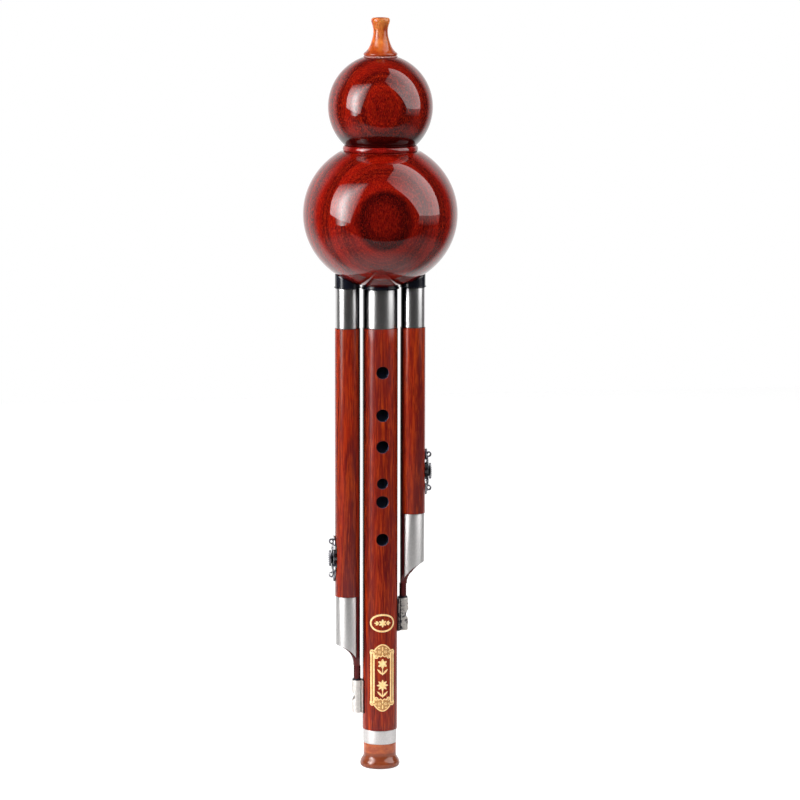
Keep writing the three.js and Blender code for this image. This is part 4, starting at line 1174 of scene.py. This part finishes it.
def peg_shape(drone):
    top = drone["bottom"] - SEAT
    low = drone["clip_top"] - 4.6
    tenon_top = top + PEG_TENON_HEIGHT
    outline = [(0, low), (PEG_RADIUS, low, 0.4), (PEG_RADIUS, top), (PEG_TENON, top),
               (PEG_TENON, tenon_top), (0, tenon_top)]
    return turned(outline, 48, PEG_X)


# The sliding switches

PLATE_IN = DRONE_RADIUS + FIT
PLATE_OUT = PLATE_IN + 1.8
PLATE_END = PLATE_IN + 0.8
PLATE_ANGLE = 0.75
SLOT_LENGTH = 6.7
SCROLL_START = 8.5
PLATE_HALF = 14.2
PLATE_WAIST = 2.4
PLATE_WIDE = 3.4
VOLUTE_HALF = 1.8
PIN_RISE = PLATE_HALF - 1.35
THUMB_IN = PLATE_OUT + 0.7
THUMB_WALL = 0.75


def quarter(a, b, c):
    """Points of a curve from a to c, drawn towards b."""
    steps = 8
    a, b, c = (np.array(p, float) for p in (a, b, c))
    made = []
    for step in range(steps):
        t = step / steps
        made.append(tuple(a * (1 - t) ** 2 + 2 * b * t * (1 - t) + c * t**2))
    return made


def plate_outline():
    end = PLATE_HALF - 3.3
    lower, upper = (PLATE_WAIST, -SCROLL_START), (PLATE_WAIST, SCROLL_START)
    right = [
        *quarter((0, -PLATE_HALF), (PLATE_WAIST, -end), lower),
        *quarter(lower, (PLATE_WIDE, -SLOT_LENGTH), (PLATE_WIDE, 0)),
        *quarter((PLATE_WIDE, 0), (PLATE_WIDE, SLOT_LENGTH), upper),
        *quarter(upper, (PLATE_WAIST, end), (0, PLATE_HALF)),
    ]
    return right + [(-y, z) for y, z in reversed(right[1:])]


def on_plate(u, v, radius):
    """A point on the plate's curved face, across u and up v."""
    angle = u / PLATE_OUT
    return (radius * math.cos(angle), radius * math.sin(angle), v)


def spiral(size, shrink, turns, start, hand=1, steps=16):
    """Points of a spiral about zero that loses a share of its size as it turns."""
    count = int(steps * turns)
    for step in range(count + 1):
        share = step / count
        angle = start + hand * share * turns * 2 * math.pi
        reach = size * (1 - shrink * share)
        yield reach * math.cos(angle), reach * math.sin(angle)


def curl(u, v, size, turns, start, mirror):
    """A scroll lying on the plate."""
    path = [on_plate(u + mirror * a, v + b, PLATE_OUT) for a, b in spiral(size, 0.75, turns, start)]
    return rope(path, lambda share: 0.36 * (1 - 0.3 * share), 6)


def volute(end):
    """The scroll that stands up at an end of the plate, seen from its side as an open ring."""
    path = []
    for step in range(34):
        share = step / 33
        angle = math.radians(-150 + 430 * share)
        reach = 1.75 - 0.75 * share
        height = PLATE_IN + 2.15 + reach * math.sin(angle) * 0.92
        along = SCROLL_START + 1.75 - reach * math.cos(angle)
        path.append((height, 0, end * along))
    flat = ((0, 1, 0), lambda share: VOLUTE_HALF * (1 - 0.25 * share))
    return rope(path, lambda share: 0.55 - 0.1 * share, 10, flat=flat)


def arched(top, outline):
    """The part of a curved wall that an outline of (y, z) points takes out."""
    wall = sector(PLATE_IN, top, -PLATE_ANGLE, PLATE_ANGLE, -16, 16, 48)
    return combined(wall, [prism(outline, 2, 14)], "INTERSECT")


def plate_shape():
    """The cast plate at height 0: a pierced arch with a rim, scrolls on its face and volutes at its ends."""
    outline = plate_outline()
    channel = 7.6
    ends = [block((2, -6, end * 12 - 3.5), (14, 6, end * 12 + 3.5)) for end in (-1, 1)]
    arch = combined(arched(PLATE_OUT, outline), ends)
    foil = arched(PLATE_END, outline)
    rim = []
    for y, z in outline:
        share = min(1, max(0, (abs(z) - channel) / 1.4))
        rim.append(on_plate(y * 0.9, z * 0.97, PLATE_OUT - 0.05 - share * (PLATE_OUT - PLATE_END)))
    parts = [arch, foil, rope(rim, 0.36, 6, closed=True)]
    for end in (-1, 1):
        parts.append(volute(end))
        for mirror in (-1, 1):
            parts.append(curl(mirror * 2.3, end * 5.4, 0.9, 1.4, -end * 0.5, mirror))
            parts.append(curl(mirror * 2.4, end * 2.0, 0.8, 1.2, end * 2.2, mirror))
    made = cast(parts, voxel=0.13, smoothing=2)
    cutters = [
        block((2, -2.95, -channel), (PLATE_IN + 1.2, 2.95, channel)),
        block((4, -1.5, -SLOT_LENGTH), (14, 1.5, SLOT_LENGTH)),
    ]
    arch_x = PLATE_IN + 0.05
    for z in (-5.6, -1.9, 1.9, 5.6):
        cutters.append(bar((arch_x, -6, z), (arch_x, 6, z), 1.15, 28))
    for end in (-1, 1):
        cutters.append(bar((4, 0, end * PIN_RISE), (14, 0, end * PIN_RISE), PIN_RADIUS + FIT, 24))
    return combined(made, cutters, solver="MANIFOLD")


def slider_shape():
    """The thumb piece at height 0: a foot in the plate's channel, a neck, and a domed, ribbed thumb rest."""
    foot_in = PLATE_IN + 0.55
    foot = sector(foot_in, foot_in + 0.5, -2.7 / foot_in, 2.7 / foot_in, -3.4, 3.4, 24)
    neck = block((foot_in + 0.25, -1.2, -3), (THUMB_IN + 0.7, 1.2, 3))
    round_edge = [(2.6 * math.cos(t), 4.8 * math.sin(t)) for t in np.arange(48) * math.pi / 24]
    thumb = prism(round_edge, THUMB_IN, THUMB_IN + THUMB_WALL)
    parts = [foot, neck, thumb]
    for z in np.linspace(-3.6, 3.6, 7):
        reach = 2.35 * math.sqrt(1 - (z / 5.0) ** 2)
        path = []
        for t in np.linspace(-1, 1, 9):
            path.append((THUMB_IN + THUMB_WALL + 0.3 * math.sqrt(1 - 0.8 * t * t), reach * t, z))
        parts.append(rope(path, 0.34, 8))
    edge = [(THUMB_IN + 0.62, y * 0.93, z * 0.96) for y, z in round_edge]
    parts.append(rope(edge, 0.36, 8, closed=True))
    return cast(parts, voxel=0.12)


def pin_shape():
    """A domed pin at height 0, lying along X."""
    tip = DRONE_RADIUS - 1
    head = PLATE_END + SEAT
    outline = [(0, tip), (PIN_RADIUS, tip, 0.1), (PIN_RADIUS, head), (PIN_HEAD, head, 0.05),
               (PIN_HEAD, head + 0.4, 0.35), (0, head + 0.45)]
    return laid_down(turned(outline, 32))


plate_master = plate_shape()
slider_master = slider_shape()
pin_master = pin_shape()
TUBE_WOODS = {"left": LEFT_WOOD, "right": RIGHT_WOOD}
CLIP_LOOKS = {"left": CAST, "right": CAST_DARK}
for side, drone in DRONES.items():
    turn = drone["turn"]
    height = drone["switch"]
    on_main = [
        (clip_shape(drone, side == "right"), "tail_clip", "cast_silver", CLIP_LOOKS[side]),
        (pad_shape(drone), "clip_pad", "black_rubber", RUBBER),
        (bush_shape(drone), "stem_bush", "black_rubber", RUBBER),
        (screw_shape(drone), "clip_screw", "nickel_silver", NICKEL_PLAIN),
    ]
    for made, name, slot, look in on_main:
        piece(placed(made, turn), f"{side}_{name}", "main_pipe", look)
    on_drone = [
        (drone_tube(drone), "tube", "pipe", "pipe_rosewood", TUBE_WOODS[side]),
        (sleeve_shape(drone), "tail_sleeve", "pipe", "nickel_silver", NICKEL_SLEEVE),
        (peg_shape(drone), "tail_peg", "pipe", "pipe_rosewood", PEG_WOOD),
        (raised_copy(plate_master, height), "switch_plate", "pipe", "cast_silver", SWITCH_CAST),
        (raised_copy(pin_master, height + PIN_RISE), "switch_pin_top", "pipe", "nickel_silver",
         NICKEL_PLAIN),
        (raised_copy(pin_master, height - PIN_RISE), "switch_pin_bottom", "pipe", "nickel_silver",
         NICKEL_PLAIN),
        (raised_copy(slider_master, height), "switch_slider", "switch", "cast_silver", SWITCH_CAST),
    ]
    for made, name, body, slot, look in on_drone:
        piece(placed(made, turn, DRONE_X), f"{side}_{name}", f"{side}_{body}", look)
for master in (plate_master, slider_master, pin_master):
    bpy.data.objects.remove(master)


# The gilt oval and panel on the main pipe, drawn flat and then bent round it

GILT_RISE = 0.16
GILT_DEPTH = 0.25
GROUND_RISE = 0.05
# A line's cross section, as shares of its half width and depths
GILT_SECTION = [(-1, GILT_DEPTH), (1, GILT_DEPTH), (1, 0), (0.7, -GILT_RISE), (-0.7, -GILT_RISE), (-1, 0)]


def ribbon(path, width, closed=False):
    """A flat line of the drawing, as a solid with chamfered edges. X is across the pipe and Z up."""
    sections = []
    for share, point, before, after in neighbours([np.array(p, float) for p in path], closed):
        along = (after - before) / (np.linalg.norm(after - before) + 1e-9)
        across = np.array((along[1], -along[0]))
        half = (width(share) if callable(width) else width) / 2
        section = []
        for part, depth in GILT_SECTION:
            spot = point + across * half * part
            section.append((spot[0], depth, spot[1]))
        sections.append(section)
    return swept(sections, closed)


def ellipse_path(x, z, half_width, half_height, count):
    angles = [2 * math.pi * i / count for i in range(count)]
    return [(x + half_width * math.cos(a), z + half_height * math.sin(a)) for a in angles]


def leaf_shape(x, z, length, width, angle):
    """A leaf: one ribbon that swells and tapers."""
    path = []
    for t in np.linspace(0, 1, 13):
        path.append((x + length * t * math.cos(angle), z + length * t * math.sin(angle)))
    return ribbon(path, lambda share: 0.12 + width * math.sin(math.pi * share) ** 0.8)


def gilt_piece(parts, name, look=GILT):
    """Joins the drawn parts and bends them round the main pipe."""

    def wrap(places):
        turn = places[:, 0] / MAIN_RADIUS
        radius = MAIN_RADIUS - places[:, 1]
        return np.stack([radius * np.sin(turn), -radius * np.cos(turn), places[:, 2]], 1)

    piece(bent(cast(parts, voxel=0.1), wrap), name, "main_pipe", look, has_node=False, sharp=60)


def ground(outline):
    """A flat field of gilding under the raised lines."""
    sections = [[(x, depth, z) for x, z in outline] for depth in (GILT_DEPTH, -GROUND_RISE)]
    return swept(sections)


def flower(x, z, petals, length, width):
    made = [ribbon(ellipse_path(x, z, 0.3, 0.3, 16), 0.6, True)]
    for index in range(petals):
        angle = math.radians(90 + 360 * index / petals)
        made.append(leaf_shape(x + 0.35 * math.cos(angle), z + 0.35 * math.sin(angle), length, width, angle))
    return made


OVAL_Z = 89.4
oval = [ribbon(ellipse_path(0, OVAL_Z, 7.45, 5.0, 96), 1.1, True)]
oval += flower(0, OVAL_Z, 6, 2.1, 1.15)
for side in (-1, 1):
    middle = 90 - side * 90
    for turn, length in ((-34, 2.2), (0, 2.9), (34, 2.2)):
        oval.append(leaf_shape(side * 2.3, OVAL_Z, length, 0.95, math.radians(middle + turn)))
gilt_piece(oval, "gilt_oval")

KNOB_LOW, KNOB_HIGH = 40.6, 71.6
panel = []
fields = []
for side in (-1, 1):
    for x, width in ((7.2, 1.0), (5.3, 1.0)):
        panel.append(ribbon([(side * x, KNOB_LOW), (side * x, KNOB_HIGH)], width))
    strip = [(5.2, KNOB_LOW), (7.3, KNOB_LOW), (7.3, KNOB_HIGH), (5.2, KNOB_HIGH)]
    fields.append(ground([(side * x, z) for x, z in strip]))
# The panel's end, from the middle of its edges outwards: the dome, the scallops below it, and the scrolls
# on each side with their place, size, turns, start and hand
DOME_HALF = [(0, 4.7), (1.4, 4.4), (3.1, 3.3), (4.6, 1.7), (5.0, 0.9), (6.0, 1.2), (7.1, 1.15), (7.75, -0.1),
             (7.3, -1.6)]
SCALLOPS_HALF = [(0, -1.8), (1.2, -2.6), (2.4, -2.0), (3.1, -3.3), (4.4, -3.4), (5.3, -2.0)]
SCROLLS = [(6.4, -0.3, 0.75, 1.2, 1.0, 1), (3.9, -2.0, 0.85, 1.3, 0.2, -1), (2.0, 0.5, 1.05, 1.4, 2.4, 1),
           (4.2, 0.3, 0.65, 1.0, 0.5, 1), (2.2, 2.4, 0.6, 1.0, 3.5, -1)]


def mirrored(half, hand):
    """The whole line whose half is given, run from the side that hand says to the other."""
    far = [(-hand * x, z) for x, z in half[:0:-1]]
    near = [(hand * x, z) for x, z in half]
    return smooth_curve(far + near)


for end, middle in ((1, KNOB_HIGH), (-1, KNOB_LOW)):
    dome_line = [(x, middle + end * z) for x, z in mirrored(DOME_HALF, 1)]
    scallop_line = [(x, middle + end * z) for x, z in mirrored(SCALLOPS_HALF, -1)]
    fields.append(ground(dome_line + scallop_line))
    panel.append(ribbon(dome_line, 0.75))
    panel.append(ribbon(scallop_line, 0.65))
    for side in (-1, 1):
        for x, z, size, turns, start, hand in SCROLLS:
            path = [(side * (x + a), middle + end * (z + b))
                    for a, b in spiral(size, 0.78, turns, start, hand, 22)]
            panel.append(ribbon(path, 0.36))
    panel.append(leaf_shape(0, middle + end * 0.8, 2.9, 0.8, end * math.pi / 2))
    panel.append(leaf_shape(0, middle - end * 1.5, 1.7, 0.7, end * math.pi / 2))
# A flower on its stem, twice: the flower's height, petals, their length and width, and the root's height
for flower_z, petals, petal, width, root_z in ((64.6, 6, 2.7, 1.5, 57.8), (51.5, 8, 3.1, 1.25, 44.2)):
    panel += flower(0, flower_z, petals, petal, width)
    panel.append(ribbon([(0, root_z), (0, flower_z)], 0.55))
    for tip in (-44, 44):
        panel.append(leaf_shape(0, root_z + 0.3, 4.6, 1.1, math.radians(90 + tip)))
gilt_piece(fields, "gilt_ground", GILT_GROUND)
gilt_piece(panel, "gilt_panel")

# The nodes that stay as they are, with finer looks
KEPT_LOOKS = {"reed_tube": BRASS, "reed": BRASS, "reed_plug": BRASS, "tenon_cork": CORK,
              "slider_pad": RUBBER}
for name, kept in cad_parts.items():
    rest = name.partition("_")[2]
    if rest in KEPT_LOOKS:
        for material_slot in kept.material_slots:
            material_slot.material = KEPT_LOOKS[rest]


# The stage

def toward(azimuth, elevation, distance, centre):
    """A point seen from the centre in a direction. Azimuth 0 is the front and 90 the object's +X side."""
    a, e = math.radians(azimuth), math.radians(elevation)
    reach = Vector((math.sin(a) * math.cos(e), -math.cos(a) * math.cos(e), math.sin(e)))
    return Vector(centre) + reach * distance


def bare_tree(owner):
    """The nodes of a material or world, with none in it yet."""
    owner.use_nodes = True
    owner.node_tree.nodes.clear()
    return owner.node_tree


def glowing(tree, strength, other):
    """Makes the surface one that glows, on top of another shader."""
    light = node(tree, "Emission", {"Strength": strength})
    both = node(tree, "AddShader", {0: light.outputs[0], 1: other.outputs[0]})
    node(tree, "OutputMaterial", {"Surface": both.outputs[0]})


def softbox(name, middle, edge, strength):
    """A glowing sheet seen in the given directions, each an azimuth, elevation and share of the light."""
    spots = [middle, *edge]
    corners = [toward(a, e, 1.35, (0, 0, 0.3)) for a, e, _ in spots]
    faces = [(0, 1 + i, 1 + (i + 1) % len(edge)) for i in range(len(edge))]
    made = new_object(corners, faces, name)
    glow = made.data.attributes.new("glow", "FLOAT", "POINT")
    glow.data.foreach_set("value", [share for _, _, share in spots])
    look = bpy.data.materials.new(name)
    tree = bare_tree(look)
    share = node(tree, "Attribute", attribute_name="glow").outputs["Fac"]
    glowing(tree, times(tree, share, strength), node(tree, "BsdfTransparent"))
    made.data.materials.append(look)
    made.visible_camera = False
    made.visible_shadow = False


softbox("left_softbox", (-68, 24, 1.35),
        [(-92, 40, 0.12), (-66, 51, 0.0), (-34, 56, 0.0), (-43, 24, 0.05), (-54, -8, 0.35), (-72, -3, 0.7),
         (-88, 3, 0.8), (-90, 20, 0.8)], 8.5)
softbox("left_strip", (-68, 10, 1), [(-80, 10, 0), (-74, 42, 0), (-63, 44, 0), (-56, 10, 0), (-58, -10, 0),
                                     (-68, -12, 1), (-78, -10, 0)], 9)
softbox("right_softbox", (64, 38, 0.95),
        [(50, 3, 1), (70, 1, 1), (88, 1, 1.1), (90, 25, 1.3), (94, 45, 1.3), (102, 62, 1.1), (116, 77, 0.8),
         (60, 74, 0.5), (7, 61, 0.2), (20, 47, 0.5), (33, 34, 0.8), (42, 20, 0.9)], 3.6)
softbox("right_low_softbox", (66, -4, 0.2),
        [(50, 3, 0.3), (70, 1, 0.3), (88, 1, 0.3), (86, -11, 0), (66, -12, 0), (48, -10, 0)], 3.6)
fill = bpy.data.lights.new("fill", "AREA")
fill.shape = "DISK"
fill.size = 1.2
fill.energy = 8
fill_object = bpy.data.objects.new("fill", fill)
FILL_AIM = Vector((0, 0, 0.25))
fill_object.location = toward(-12, 26, 2.0, FILL_AIM)
fill_object.rotation_mode = "QUATERNION"
fill_object.rotation_quaternion = (FILL_AIM - fill_object.location).to_track_quat("-Z", "Y")
fill_object.visible_camera = False
fill_object.visible_glossy = False
bpy.context.scene.collection.objects.link(fill_object)

FLOOR_FRONT = -0.44
FLOOR_REACH = 1.6
floor_corners = [(-FLOOR_REACH, FLOOR_FRONT), (FLOOR_REACH, FLOOR_FRONT), (FLOOR_REACH, FLOOR_REACH),
                 (-FLOOR_REACH, FLOOR_REACH)]
floor = new_object([(x, y, -0.0001) for x, y in floor_corners], [(0, 1, 2, 3)], "floor")
# It stays under the foot when the main pipe is drawn out downwards
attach(floor, "main_pipe")


def backwards(tree, y, reach):
    """1 straight back from the object and 0 to its sides, for a level direction of that length."""
    return ranged(tree, maths(tree, "DIVIDE", y, maths(tree, "MAXIMUM", reach, 0.001)), 0.42, 0.74)


def seen(tree, behind):
    """1 for the camera's own rays, and for reflected and refracted ones where they meet the background."""
    path = node(tree, "LightPath")
    bounced = maths(tree, "MAXIMUM", path.outputs["Is Glossy Ray"], path.outputs["Is Transmission Ray"])
    return maths(tree, "MAXIMUM", path.outputs["Is Camera Ray"], times(tree, bounced, behind))


# The floor's colour paints a pool of light near the object and shade further off, which its reflections
# show; to the camera it shows as the white background
look = bpy.data.materials.new("floor")
tree = bare_tree(look)
place = node(tree, "TexCoord").outputs["Object"]
away = length_of(tree, place)
showing = seen(tree, backwards(tree, apart(tree, place)[1], away))
# Painted light near the object, painted shade further off
shade = mixed(tree, ranged(tree, away, 0.3, 0.1), (0.32, 0.32, 0.32), (0.8, 0.8, 0.8))
shade = mixed(tree, ranged(tree, away, 0.45, 0.8), shade, (0.06, 0.06, 0.06))
shade = mixed(tree, showing, shade, (0.45, 0.45, 0.45))
glowing(tree, times(tree, showing, 0.86), node(tree, "BsdfDiffuse", {"Color": shade}))
floor.data.materials.append(look)

# The world is white behind the object and almost black elsewhere, as in a dark studio
scene = bpy.context.scene
world = bpy.data.worlds.new("studio")
scene.world = world
tree = bare_tree(world)
x, y, z = apart(tree, node(tree, "TexCoord").outputs["Generated"])
level_part = node(tree, "CombineXYZ", {0: x, 1: y}).outputs[0]
behind = times(tree, backwards(tree, y, length_of(tree, level_part)), ranged(tree, z, 0.75, 0.35))
scattered = node(tree, "LightPath").outputs["Is Diffuse Ray"]
dim = plus(tree, times(tree, behind, minus(tree, 0.95, times(tree, scattered, 0.4))), 0.035)
level = maths(tree, "MAXIMUM", dim, seen(tree, behind))
light = node(tree, "Background", {"Strength": level, "Color": (1, 1, 1, 1)})
node(tree, "OutputWorld", {"Surface": light.outputs[0]})

# The camera
AIM = Vector((0, 0, 0.2228))
CAMERA_AZIMUTH = -9
CAMERA_ELEVATION = 8
CAMERA_DISTANCE = 2.4
FOCAL_PIXELS = 4028
FRAME_PIXELS = 800
SENSOR = 36
ROLL = math.radians(0.06)
camera = bpy.data.cameras.new("camera")
camera.sensor_width = SENSOR
camera.lens = FOCAL_PIXELS / FRAME_PIXELS * SENSOR
camera.shift_x = 0.0248
camera_object = bpy.data.objects.new("camera", camera)
camera_object.location = toward(CAMERA_AZIMUTH, CAMERA_ELEVATION, CAMERA_DISTANCE, AIM)
camera_object.rotation_mode = "QUATERNION"
aim = (AIM - camera_object.location).to_track_quat("-Z", "Y")
camera_object.rotation_quaternion = aim @ Matrix.Rotation(ROLL, 3, "Z").to_quaternion()
scene.collection.objects.link(camera_object)
scene.camera = camera_object
scene.view_settings.view_transform = "Standard"
